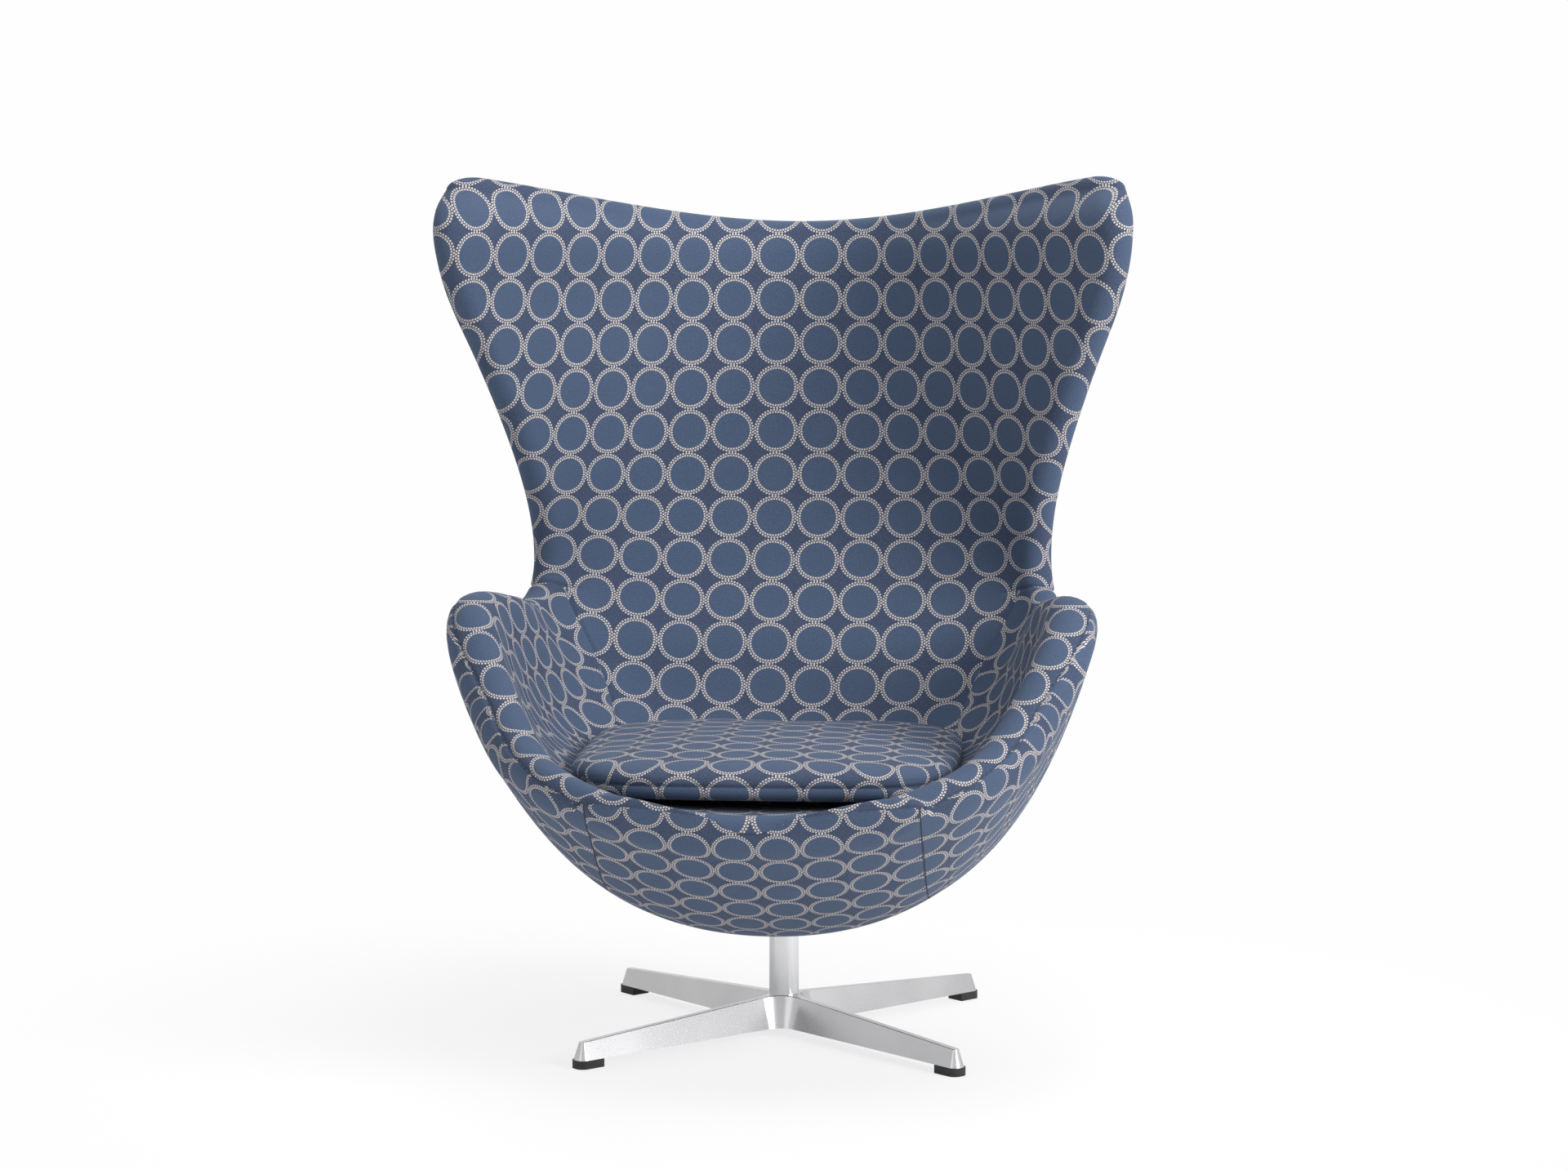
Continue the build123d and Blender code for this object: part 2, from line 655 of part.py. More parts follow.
def make_column_parts():
    """Column with its two bushes and the thrust washer on its rim."""
    upper_bush_height = COLUMN_TOP - BUSH_LENGTH
    bore = SPINDLE_RADIUS + RUNNING
    return {
        "column_tube": tube(COLUMN_RADIUS, COLUMN_BORE, COLUMN_FOOT, COLUMN_TOP),
        "lower_bush": tube(COLUMN_BORE, bore, LOWER_BUSH_HEIGHT, LOWER_BUSH_HEIGHT + BUSH_LENGTH),
        "upper_bush": tube(COLUMN_BORE, bore, upper_bush_height, COLUMN_TOP),
        "thrust_washer": tube(COLUMN_RADIUS, bore, COLUMN_TOP, FLOOR_HEIGHT),
    }


def make_spindle_parts():
    """Spindle that turns in the column, and the circlip that stops it from lifting out."""
    clip_height = LOWER_BUSH_HEIGHT - CIRCLIP_PLAY - CIRCLIP
    spindle = bar(SPINDLE_RADIUS, LOWER_BUSH_HEIGHT - SPINDLE_TAIL, FLOOR_TOP)
    return {
        "spindle": spindle - shaft_groove(SPINDLE_RADIUS, clip_height),
        "spindle_circlip": circlip(SPINDLE_RADIUS, clip_height),
    }


# ---------------------------------------------------------------- tilt mechanism
def across(shape):
    """Turns a shape along Z to lie along X through the tilt pivot."""
    return Pos(0, 0, PIVOT_HEIGHT) * Rot(0, 90, 0) * shape


def both_sides(shape):
    """A shape on the right with its mirror image on the left."""
    return [shape, mirror(shape, Plane.YZ)]


def make_bracket():
    """Folded steel bracket: floor on the spindle, two cheeks, and a bridge over the spring."""
    floor = block(CHEEK_OUTER, -BRACKET_FRONT, BRACKET_REAR, FLOOR_HEIGHT, FLOOR_TOP)
    cheeks = block(CHEEK_OUTER, -BRACKET_FRONT, BRACKET_REAR, FLOOR_TOP, BRACKET_TOP)
    cheeks += block(
        CHEEK_OUTER, -BRIDGE_FRONT, -BRACKET_FRONT, FLOOR_HEIGHT + CHEEK_STEP, BRACKET_TOP
    )
    cheeks -= block(CHEEK_INNER, -BRIDGE_FRONT, BRACKET_REAR, FLOOR_TOP, BRACKET_TOP)
    bridge = block(CHEEK_INNER, -BRIDGE_FRONT, -BRIDGE_REAR, BRIDGE_HEIGHT, BRACKET_TOP)
    bracket = floor + cheeks + bridge
    bracket -= bar(SPINDLE_RADIUS, FLOOR_HEIGHT, FLOOR_TOP)
    bracket -= across(bar(TILT_SHAFT_RADIUS, -CHEEK_OUTER, CHEEK_OUTER))
    return bracket


def make_tilt_shaft():
    """Shaft through cheeks and lugs, with a circlip outside each lug."""
    end = LUG_OUTER + SHAFT_TAIL
    clip_place = LUG_OUTER + SIDE_PLAY
    shaft = across(bar(TILT_SHAFT_RADIUS, -end, end))
    clips = both_sides(across(circlip(TILT_SHAFT_RADIUS, clip_place)))
    for groove in both_sides(across(shaft_groove(TILT_SHAFT_RADIUS, clip_place))):
        shaft -= groove
    return shaft, clips


def make_buffers():
    """Rubber stops under the bracket's floor: the seat plate rests on one pair and tilts up to the other."""
    rest_x, rest_y = REST_BUFFER
    limit_x, limit_y = LIMIT_BUFFER
    rest = Pos(rest_x, rest_y) * bar(BUFFER_RADIUS, SEAT_PLATE_TOP + LAYER_GAP, FLOOR_HEIGHT)
    limit = Pos(limit_x, limit_y) * bar(
        BUFFER_RADIUS, FLOOR_HEIGHT - LIMIT_BUFFER_HEIGHT, FLOOR_HEIGHT
    )
    return both_sides(rest), both_sides(limit)


def make_spring():
    """Coil spring between the seat plate and the bridge, and the pin that keeps it in place."""
    low = SEAT_PLATE_TOP + LAYER_GAP + SPRING_WIRE / 2
    height = BRIDGE_HEIGHT - LAYER_GAP - SPRING_WIRE / 2 - low
    path = Helix(height / SPRING_TURNS, height, SPRING_RADIUS)
    section = Plane(origin=path @ 0, z_dir=path % 0) * Circle(SPRING_WIRE / 2)
    spring = Pos(0, SPRING_Y, low) * sweep(section, path, is_frenet=True)
    pin = Pos(0, SPRING_Y) * bar(SPRING_PIN_RADIUS, BRIDGE_HEIGHT - SPRING_PIN, BRIDGE_HEIGHT)
    return spring, pin


def bolt_places():
    """The four bolts of the seat plate, in plan."""
    return [(side * BOLT_X, y) for side in (-1, 1) for y in BOLT_YS]


def make_seat_plate():
    """Steel plate bolted into the shell, with two lugs that hang on the tilt shaft."""
    plate = plate_block(0, SEAT_PLATE_TOP) - plate_block(0, SEAT_PLATE_HEIGHT)
    plate = fillet(plate.edges().filter_by(Axis.Z), PLATE_CORNER)
    plate -= cut_slot()
    for x, y in bolt_places():
        hole = bar(BOLT_RADIUS + BOLT_ROOM, SEAT_PLATE_HEIGHT, SEAT_PLATE_TOP)
        plate -= Pos(x, y) * hole
    lug = across(bar(LUG_RADIUS, LUG_INNER, LUG_OUTER))
    foot = Box(PLATE, 2 * LUG_RADIUS, PIVOT_HEIGHT - SEAT_PLATE_TOP)
    lug += Pos((LUG_INNER + LUG_OUTER) / 2, 0, (PIVOT_HEIGHT + SEAT_PLATE_TOP) / 2) * foot
    lug -= across(bar(TILT_SHAFT_RADIUS + BUSH_WALL, LUG_INNER, LUG_OUTER))
    for piece in both_sides(lug):
        plate += piece
    return plate


def make_tilt_bushes():
    """Flanged plastic bushes in the lugs, right and left."""
    bore = TILT_SHAFT_RADIUS + RUNNING
    outer = TILT_SHAFT_RADIUS + BUSH_WALL
    sleeve = tube(outer, bore, LUG_INNER, LUG_OUTER)
    flange = tube(outer + BUSH_FLANGE, bore, CHEEK_OUTER + SIDE_PLAY, LUG_INNER)
    return both_sides(across(sleeve + flange))


def make_plate_bolts():
    """Socket-head bolts through the seat plate, and the threaded inserts that take them."""
    bolt = bar(BOLT_RADIUS, SEAT_PLATE_HEIGHT - BOLT_REACH, SEAT_PLATE_TOP)
    bolt += bar(BOLT_HEAD_RADIUS, SEAT_PLATE_TOP, SEAT_PLATE_TOP + BOLT_HEAD)
    socket = extrude(RegularPolygon(HEX_RADIUS, 6), HEX_DEPTH)
    bolt -= Pos(0, 0, SEAT_PLATE_TOP + BOLT_HEAD - HEX_DEPTH) * socket
    insert = tube(INSERT_RADIUS, BOLT_RADIUS, SEAT_PLATE_HEIGHT - INSERT_LENGTH, SEAT_PLATE_HEIGHT)
    bolts = [Pos(x, y) * bolt for x, y in bolt_places()]
    inserts = [Pos(x, y) * insert for x, y in bolt_places()]
    return bolts, inserts


# ---------------------------------------------------------------- the chair, piece by piece
def base_pieces():
    """Star, glides and screws, with the column and its bushes."""
    pieces = {"base_star": make_star()}
    names = ("rear_right", "rear_left", "front_left", "front_right")
    for name, angle in zip(names, ARM_ANGLES):
        pieces["glide_" + name] = make_glide(angle)
    screw = Pos(PEG_PLACE, 0) * glide_screw(0)
    pieces["glide_screws"] = Compound([Rot(0, 0, angle) * screw for angle in ARM_ANGLES])
    pieces.update(make_column_parts())
    return pieces


def mechanism_pieces():
    """What turns on the column, with the parts that the shell tilts on."""
    shaft, clips = make_tilt_shaft()
    rest, limit = make_buffers()
    spring, pin = make_spring()
    bolts, inserts = make_plate_bolts()
    bush_right, bush_left = make_tilt_bushes()
    pieces = make_spindle_parts()
    pieces["swivel_bracket"] = make_bracket()
    pieces["tilt_shaft"] = shaft
    pieces["shaft_circlips"] = Compound(clips)
    pieces["rest_buffers"] = Compound(rest)
    pieces["limit_buffers"] = Compound(limit)
    pieces["return_spring"] = spring
    pieces["spring_pin"] = pin
    pieces["seat_plate"] = make_seat_plate()
    pieces["tilt_bush_right"] = bush_right
    pieces["tilt_bush_left"] = bush_left
    pieces["plate_bolts"] = Compound(bolts)
    pieces["threaded_inserts"] = Compound(inserts)
    return pieces


def upholstery_pieces():
    """Rigid shell, foam and cloth, with the loose seat cushion."""
    outside = outside_skin()
    outer = outside - apron_block(SEAM_GAP) - cut_slot()
    arm_right, arm_left = both_sides(make_arm_panel())
    core, top_cover, base_cover = make_cushion()
    return {
        "mounting_pad": make_mounting_pad(),
        "rigid_shell": shell_strip(SHELL_DEPTH, SHELL_DEPTH + SHELL_THICK) - cut_slot(),
        "foam_padding": make_foam(),
        "back_panel": make_back_panel(),
        "seat_panel": make_seat_panel(),
        "arm_panel_right": arm_right,
        "arm_panel_left": arm_left,
        "apron_panel": outside & apron_block(0),
        "outer_panel": outer.fix(),
        "column_collar": make_collar(),
        "cushion_core": core,
        "cushion_top_cover": top_cover,
        "cushion_base_cover": base_cover,
    }


def main():
    """Builds every piece and writes one file for each."""
    os.makedirs("parts", exist_ok=True)
    pieces = base_pieces() | mechanism_pieces() | upholstery_pieces()
    for name, piece in pieces.items():
        export_step(Pos(0, COLUMN_BACK) * piece, os.path.join("parts", name + ".step"))


if __name__ == "__main__":
    main()
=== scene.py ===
"""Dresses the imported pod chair: cloth over its moulded shell, a loose seat cushion and a cast star foot."""

from math import cos, pi, radians, sin

import bpy
import numpy as np
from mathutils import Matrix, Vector
from mathutils.bvhtree import BVHTree


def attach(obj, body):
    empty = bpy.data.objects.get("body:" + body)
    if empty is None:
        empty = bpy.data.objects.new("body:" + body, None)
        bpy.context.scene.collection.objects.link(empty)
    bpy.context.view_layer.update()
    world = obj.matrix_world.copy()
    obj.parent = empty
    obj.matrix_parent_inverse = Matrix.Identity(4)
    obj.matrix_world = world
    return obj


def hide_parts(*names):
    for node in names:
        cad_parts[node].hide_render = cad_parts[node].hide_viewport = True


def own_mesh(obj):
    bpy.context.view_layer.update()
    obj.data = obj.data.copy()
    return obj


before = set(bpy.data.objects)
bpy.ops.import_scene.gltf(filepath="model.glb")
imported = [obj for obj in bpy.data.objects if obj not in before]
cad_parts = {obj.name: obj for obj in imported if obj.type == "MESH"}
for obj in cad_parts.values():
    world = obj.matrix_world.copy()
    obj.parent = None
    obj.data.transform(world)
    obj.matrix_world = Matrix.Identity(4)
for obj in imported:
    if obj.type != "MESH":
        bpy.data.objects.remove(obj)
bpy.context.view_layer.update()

# ---------------------------------------------------------------- camera
# The chair is seen from the front, a little from its left and from above seat height, through a long
# lens. The column's axis stands COLUMN_BACK metres behind the middle of the chair's outline.
COLUMN_BACK = 0.083
CAMERA_DISTANCE = 4.402
CAMERA_HEIGHT = 0.969
CAMERA_SIDE = radians(4.9)
CAMERA_DOWN = radians(5.29)
CAMERA_LENS = 81.92
CAMERA_SENSOR = 36

camera = bpy.data.objects.new("camera", bpy.data.cameras.new("camera"))
bpy.context.scene.collection.objects.link(camera)
camera.data.lens = CAMERA_LENS
camera.data.sensor_width = CAMERA_SENSOR
camera.location = (
    CAMERA_DISTANCE * sin(CAMERA_SIDE),
    COLUMN_BACK - CAMERA_DISTANCE * cos(CAMERA_SIDE),
    CAMERA_HEIGHT,
)
looking = Vector(
    (-sin(CAMERA_SIDE) * cos(CAMERA_DOWN), cos(CAMERA_SIDE) * cos(CAMERA_DOWN), -sin(CAMERA_DOWN))
)
camera.rotation_mode = "QUATERNION"
camera.rotation_quaternion = looking.to_track_quat("-Z", "Y")
bpy.context.scene.camera = camera
bpy.context.scene.view_settings.view_transform = "Standard"


# ---------------------------------------------------------------- studio
# The chair stands on white paper in white surroundings, under four large soft lamps. The camera sees both
# all but plain white, with the chair's faint shadow on the paper, and polished metal mirrors surroundings
# that are a little darker.
class Socket:
    """An output of a shader node that takes part in arithmetic."""

    def __init__(self, nodes, out):
        self.nodes = nodes
        self.out = out

    def __add__(self, other):
        return self.nodes.math("ADD", self, other)

    def __radd__(self, other):
        return self.nodes.math("ADD", other, self)

    def __sub__(self, other):
        return self.nodes.math("SUBTRACT", self, other)

    def __rsub__(self, other):
        return self.nodes.math("SUBTRACT", other, self)

    def __mul__(self, other):
        return self.nodes.math("MULTIPLY", self, other)

    def __rmul__(self, other):
        return self.nodes.math("MULTIPLY", other, self)

    def __pow__(self, other):
        return self.nodes.math("POWER", self, other)

    def __rpow__(self, other):
        return self.nodes.math("POWER", other, self)

    def __abs__(self):
        return self.nodes.math("ABSOLUTE", self)

    def sine(self):
        return self.nodes.math("SINE", self)

    def fraction(self):
        return self.nodes.math("FRACT", self)

    def most(self, other):
        return self.nodes.math("MAXIMUM", self, other)

    def step(self, start, end):
        """Goes from 0 at start to 1 at end, smoothly; start may be the larger."""
        first, last = (0.0, 1.0) if start < end else (1.0, 0.0)
        settings = {"interpolation_type": "SMOOTHSTEP"}
        inputs = {0: self, 1: min(start, end), 2: max(start, end), 3: first, 4: last}
        return self.nodes.add("MapRange", settings, inputs)


class Nodes:
    """A tree of shader nodes being written, each of which comes from add."""

    def __init__(self, tree):
        self.tree = tree

    def add(self, kind, settings, inputs, output=0):
        """A node of that kind: settings first, then its inputs by name or number."""
        node = self.tree.nodes.new("ShaderNode" + kind)
        for name, value in settings.items():
            setattr(node, name, value)
        for name, value in inputs.items():
            self.plug(node.inputs[name], value)
        return Socket(self, node.outputs[output])

    def plug(self, place, value):
        """Links a socket to the node's input, or sets the input to a plain value."""
        if isinstance(value, Socket):
            self.tree.links.new(value.out, place)
        elif isinstance(value, tuple) and place.type == "RGBA":
            place.default_value = (*value, 1)
        else:
            place.default_value = value

    def math(self, operation, *values):
        """A number worked out from sockets and numbers."""
        return self.add("Math", {"operation": operation}, dict(enumerate(values)))

    def split(self, vector):
        """The three parts of a vector."""
        node = self.add("SeparateXYZ", {}, {0: vector}).out.node
        return [Socket(self, part) for part in node.outputs]

    def blend(self, share, first, second):
        """The two colours mixed by share."""
        return self.add("Mix", {"data_type": "RGBA"}, {0: share, 6: first, 7: second}, output=2)

    def place(self):
        """Where the point lies on its piece, in metres."""
        return self.add("TexCoord", {}, {}, output="Object")

    def noise(self, where, size, detail=3.0):
        """Even noise from 0 to 1 whose blotches are about size metres across."""
        inputs = {"Vector": where, "Scale": 1 / size, "Detail": detail, "Roughness": 0.55}
        return self.add("TexNoise", {}, inputs)


class Finish(Nodes):
    """A material being written."""

    def __init__(self, name):
        self.material = bpy.data.materials.new(name)
        self.material.use_nodes = True
        super().__init__(self.material.node_tree)
        self.shader = self.tree.nodes["Principled BSDF"]

    def surface(self, **inputs):
        """Sets the shader's own sockets; an underscore stands for a space."""
        for name, value in inputs.items():
            self.plug(self.shader.inputs[name.replace("_", " ")], value)

    def bump(self, height, distance, strength=1.0):
        """A surface normal from a height between 0 and 1, distance metres deep."""
        inputs = {"Height": height, "Distance": distance, "Strength": strength}
        self.surface(Normal=self.add("Bump", {}, inputs))


def mesh_object(name, points, faces, finish):
    """A smooth mesh in its finish, placed in the scene."""
    mesh = bpy.data.meshes.new(name)
    mesh.from_pydata(points, [], faces)
    mesh.polygons.foreach_set("use_smooth", np.ones(len(mesh.polygons), bool))
    mesh.materials.append(finish.material)
    made = bpy.data.objects.new(name, mesh)
    bpy.context.scene.collection.objects.link(made)
    return made


LAMPS = (
    # place, aimed at, size, power
    ((3.8, -2.1, 2.7), (0, 0, 0.6), 2.0, 185),
    ((-2.6, -3.4, 2.6), (0, 0, 0.5), 2.4, 16),
    ((-0.6, 2.6, 3.2), (0, 0, 0.7), 2.4, 45),
    ((0.4, -0.8, 4.2), (0, 0, 0.4), 2.4, 62),
)
FILL_LIGHT = 0.38  # what the surroundings shed on the chair
WHITE = 0.99  # what the camera sees of them
MIRRORED = 0.65  # how far polished metal goes from the one to the other
PAPER_HALF = 15
PAPER_GLOW = 0.78  # share of the paper by the chair that is plain white and keeps no shadow
GLOW_RISES = (0.5, 1.1)  # distances from the chair between which that share goes up to all of it

for number, (place, target, size, power) in enumerate(LAMPS):
    lamp = bpy.data.lights.new(f"lamp_{number}", "AREA")
    lamp.shape = "SQUARE"
    lamp.size = size
    lamp.energy = power
    holder = bpy.data.objects.new(f"lamp_{number}", lamp)
    bpy.context.scene.collection.objects.link(holder)
    holder.location = place
    holder.rotation_mode = "QUATERNION"
    holder.rotation_quaternion = (Vector(target) - Vector(place)).to_track_quat("-Z", "Y")

world = bpy.data.worlds.new("studio")
bpy.context.scene.world = world
world.use_nodes = True
sky = Nodes(world.node_tree)
background = sky.tree.nodes["Background"]
camera_ray = sky.add("LightPath", {}, {}, output="Is Camera Ray")
glossy_ray = sky.add("LightPath", {}, {}, output="Is Glossy Ray")
sky.plug(background.inputs["Color"], (1.0, 1.0, 1.0))
sky.plug(
    background.inputs["Strength"],
    FILL_LIGHT + camera_ray.most(glossy_ray * MIRRORED) * (WHITE - FILL_LIGHT),
)

paper = Finish("studio_paper")
paper.surface(Base_Color=(0.93, 0.93, 0.93), Roughness=0.9, Specular_IOR_Level=0.1)
glow = paper.add("Emission", {}, {"Color": (1.0, 1.0, 1.0), "Strength": WHITE})
camera_ray = paper.add("LightPath", {}, {}, output="Is Camera Ray")
from_chair = paper.add("VectorMath", {"operation": "LENGTH"}, {0: paper.place()}, output="Value")
veil = camera_ray * (PAPER_GLOW + from_chair.step(*GLOW_RISES) * (1 - PAPER_GLOW))
plain = Socket(paper, paper.shader.outputs[0])
veiled = paper.add("MixShader", {}, {0: veil, 1: plain, 2: glow})
paper.plug(paper.tree.nodes["Material Output"].inputs["Surface"], veiled)
paper_corners = [
    (-PAPER_HALF, -PAPER_HALF, 0),
    (PAPER_HALF, -PAPER_HALF, 0),
    (PAPER_HALF, PAPER_HALF, 0),
    (-PAPER_HALF, PAPER_HALF, 0),
]
floor = mesh_object("studio_floor", paper_corners, [(0, 1, 2, 3)], paper)


# ---------------------------------------------------------------- cast foot
# Four-arm star of cast aluminium, ground and polished to a satin shine, with soft edges on its ridges.
# It stands on its glides, and its hub holds the column.
def dress(finish, *nodes):
    """Gives CAD nodes a finish in place of the one they were packed with."""
    for node in nodes:
        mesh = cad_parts[node].data
        mesh.materials.clear()
        mesh.materials.append(finish.material)


cast = Finish("satin_cast_aluminium")
grinding = cast.noise(cast.place(), 0.0010)
cloud = cast.noise(cast.place(), 0.09, detail=1)
cast.surface(
    Base_Color=cast.blend(cloud.step(0.3, 0.75), (0.57, 0.57, 0.58), (0.63, 0.63, 0.64)),
    Metallic=1.0,
    Roughness=0.24 + grinding * 0.05 + cloud * 0.03,
)
cast.bump(grinding, 0.00002, 0.15)
dress(cast, "base_star")


# ---------------------------------------------------------------- glides and trim collar
# Black moulded nylon glides, screwed up into the arms' tips, and the black collar that lines the column's
# opening, with the fine spark-eroded grain of the mould.
nylon = Finish("black_nylon")
grain = nylon.noise(nylon.place(), 0.0006, detail=2)
scuff = nylon.noise(nylon.place(), 0.012, detail=4)
nylon.surface(
    Base_Color=nylon.blend(scuff.step(0.5, 0.8), (0.018, 0.018, 0.019), (0.034, 0.034, 0.036)),
    Roughness=0.42 + grain * 0.15 + scuff * 0.1,
)
nylon.bump(grain, 0.00005, 0.5)
dress(nylon, "glide_front_left", "glide_front_right", "glide_rear_left", "glide_rear_right")
dress(nylon, "column_collar")


# ---------------------------------------------------------------- column
# Drawn steel tube, satin ground round its length, which leaves fine rings. It is pressed into the
# foot's hub.
steel = Finish("satin_steel")
height = steel.split(steel.place())[2]
rings = steel.add("TexNoise", {"noise_dimensions": "1D"}, {"W": height, "Scale": 2600.0, "Detail": 3.0})
steel.surface(
    Base_Color=steel.blend(rings, (0.64, 0.64, 0.65), (0.74, 0.74, 0.75)),
    Metallic=1.0,
    Roughness=0.16 + rings * 0.08,
)
steel.bump(rings, 0.00002, 0.25)
dress(steel, "column_tube")


# ---------------------------------------------------------------- spindle, shaft and fasteners
# Turned and threaded steel parts of the swivel and the tilt, hidden up inside the seat, and the glides'
# screws. All are zinc plated, with the fine spangle of the plating.
zinc = Finish("zinc_plate")
spangle = zinc.add("TexVoronoi", {}, {"Vector": zinc.place(), "Scale": 260.0}, output="Color")
spangle_light = zinc.add("SeparateColor", {}, {0: spangle})
zinc.surface(
    Base_Color=zinc.blend(spangle_light, (0.50, 0.51, 0.53), (0.62, 0.63, 0.64)),
    Metallic=1.0,
    Roughness=0.32 + spangle_light * 0.1,
)
dress(zinc, "glide_screws", "spindle", "tilt_shaft", "spring_pin", "plate_bolts", "threaded_inserts")


# ---------------------------------------------------------------- circlips and return spring
# Oiled spring steel. The circlips snap into the spindle's and the shaft's grooves. The return spring is a
# coil of round wire between the bracket and the front of the seat plate. The plate goes up as the chair
# tilts back, so the coil shortens towards its upper end.
SPRING_PLACE = (0, 0.007)
SPRING_BOTTOM = 0.1903
SPRING_TOP = 0.2507
SPRING_RADIUS = 0.014
SPRING_TURNS = 5.5
END_TURNS = 0.6  # of them, how many lie flat at either end
WIRE_RADIUS = 0.0025
WIRE_SIDES = 10
TURN_STEPS = 28


def tube_faces(first, rings, sides):
    """Faces of a round bar with closed ends, whose rings of points are numbered from first."""
    faces = []
    last = first + (rings - 1) * sides
    for ring in range(first, last, sides):
        for k in range(sides):
            a, b = ring + k, ring + (k + 1) % sides
            faces.append((a, b, b + sides, a + sides))
    faces.append(tuple(range(first, first + sides))[::-1])
    faces.append(tuple(range(last, last + sides)))
    return faces


oiled = Finish("oiled_spring_steel")
film = oiled.noise(oiled.place(), 0.004, detail=4)
oiled.surface(
    Base_Color=oiled.blend(film, (0.05, 0.05, 0.055), (0.14, 0.13, 0.13)),
    Metallic=1.0,
    Roughness=0.28 + film * 0.2,
)
dress(oiled, "spindle_circlip", "shaft_circlips")

turns = np.linspace(0, 1, int(SPRING_TURNS * TURN_STEPS) + 1) * SPRING_TURNS
lowest, highest = SPRING_BOTTOM + WIRE_RADIUS, SPRING_TOP - WIRE_RADIUS
rise = np.clip((turns - END_TURNS) / (SPRING_TURNS - 2 * END_TURNS), 0, 1)
points = []
for turn, height in zip(2 * pi * turns, lowest + (highest - lowest) * rise):
    for k in range(WIRE_SIDES):
        around = 2 * pi * k / WIRE_SIDES
        radius = SPRING_RADIUS + WIRE_RADIUS * cos(around)
        x = SPRING_PLACE[0] + radius * cos(turn)
        y = SPRING_PLACE[1] + radius * sin(turn)
        points.append((x, y, height + WIRE_RADIUS * sin(around)))
inward_faces = tube_faces(0, len(turns), WIRE_SIDES)
spring = mesh_object("return_coil", points, [face[::-1] for face in inward_faces], oiled)
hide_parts("return_spring")
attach(spring, "swivel")
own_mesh(spring)


# ---------------------------------------------------------------- bracket and seat plate
# Folded steel pressings with a black powder coat and its slight orange peel. The bracket turns on the
# spindle, and the plate is bolted to the shell and hinges on the bracket's shaft.
powder = Finish("black_powder_coat")
peel = powder.noise(powder.place(), 0.0011, detail=2)
powder.surface(
    Base_Color=powder.blend(peel, (0.016, 0.016, 0.017), (0.026, 0.026, 0.027)),
    Roughness=0.45 + peel * 0.12,
)
powder.bump(peel, 0.00008, 0.5)
dress(powder, "swivel_bracket", "seat_plate")


# ---------------------------------------------------------------- bushes and thrust washer
# Pale acetal, moulded: two bushes in the column, two in the seat plate's lugs, and the washer between the
# column's rim and the bracket.
acetal = Finish("pale_acetal")
sheen = acetal.noise(acetal.place(), 0.006)
acetal.surface(
    Base_Color=acetal.blend(sheen, (0.62, 0.60, 0.54), (0.70, 0.68, 0.62)),
    Roughness=0.35 + sheen * 0.15,
)
dress(acetal, "lower_bush", "upper_bush", "thrust_washer", "tilt_bush_left", "tilt_bush_right")


# ---------------------------------------------------------------- rubber stops
# Black rubber blocks fixed to the bracket, on which the seat plate comes to rest at either end of its
# tilt, with the grey bloom of old rubber.
stop_rubber = Finish("stop_rubber")
bloom = stop_rubber.noise(stop_rubber.place(), 0.003, detail=4)
stop_rubber.surface(
    Base_Color=stop_rubber.blend(bloom, (0.018, 0.018, 0.018), (0.045, 0.044, 0.042)),
    Roughness=0.7 + bloom * 0.2,
)
dress(stop_rubber, "rest_buffers", "limit_buffers")


# ---------------------------------------------------------------- rigid shell
# Glass-fibre laminate moulded in one piece, hidden under the padding, in which the chopped strands show
# through the resin.
laminate = Finish("glass_fibre_laminate")
strands = laminate.add(
    "TexVoronoi", {"feature": "DISTANCE_TO_EDGE"}, {"Vector": laminate.place(), "Scale": 90.0}
)
laminate.surface(
    Base_Color=laminate.blend(strands.step(0.0, 0.3), (0.50, 0.47, 0.33), (0.40, 0.39, 0.29)),
    Roughness=0.35 + strands * 0.5,
)
laminate.bump(strands, 0.0003, 0.4)
dress(laminate, "rigid_shell")


# ---------------------------------------------------------------- mounting pad
# Block of filled resin, glued under the rigid shell, that holds the threaded inserts for the seat
# plate's bolts.
resin = Finish("filled_resin")
filler = resin.noise(resin.place(), 0.0015, detail=5)
resin.surface(
    Base_Color=resin.blend(filler, (0.13, 0.13, 0.135), (0.22, 0.22, 0.225)),
    Roughness=0.6 + filler * 0.2,
)
dress(resin, "mounting_pad")


# ---------------------------------------------------------------- cloth of the back and wings
# Woven wool over moulded foam: a slate-blue ground with rings of pale flecks in a square lattice. The
# panel covers the inside of the back and is drawn over the edge roll to the rim seam behind it.
#
# The shell is drawn as flat ribs, each one curve across the chair like a barrel hoop, in millimetres
# from the column's axis. A rib's numbers are, in this order:
BACK_Y, BACK_Z = 0, 1  # where it passes the chair's middle
RIM_X, RIM_Y, RIM_Z = 2, 3, 4  # centre of its edge roll
PAD = 5  # thickness of the padding in the middle
LEAN = 6  # degrees that its side leans
ROLL, NOSE = 7, 8  # the roll's half thickness, and how far it rounds out
OUTER_SPREAD, INNER_SPREAD = 9, 10  # how far it runs straight from the middle, outside and inside
HOLD = 11  # how long its side is straight
ARM_SEAM = 12  # from the middle to the arm's inner seam
RIM_PART = 13  # share of the way from the roll's outside to its tip at which the rim seam lies
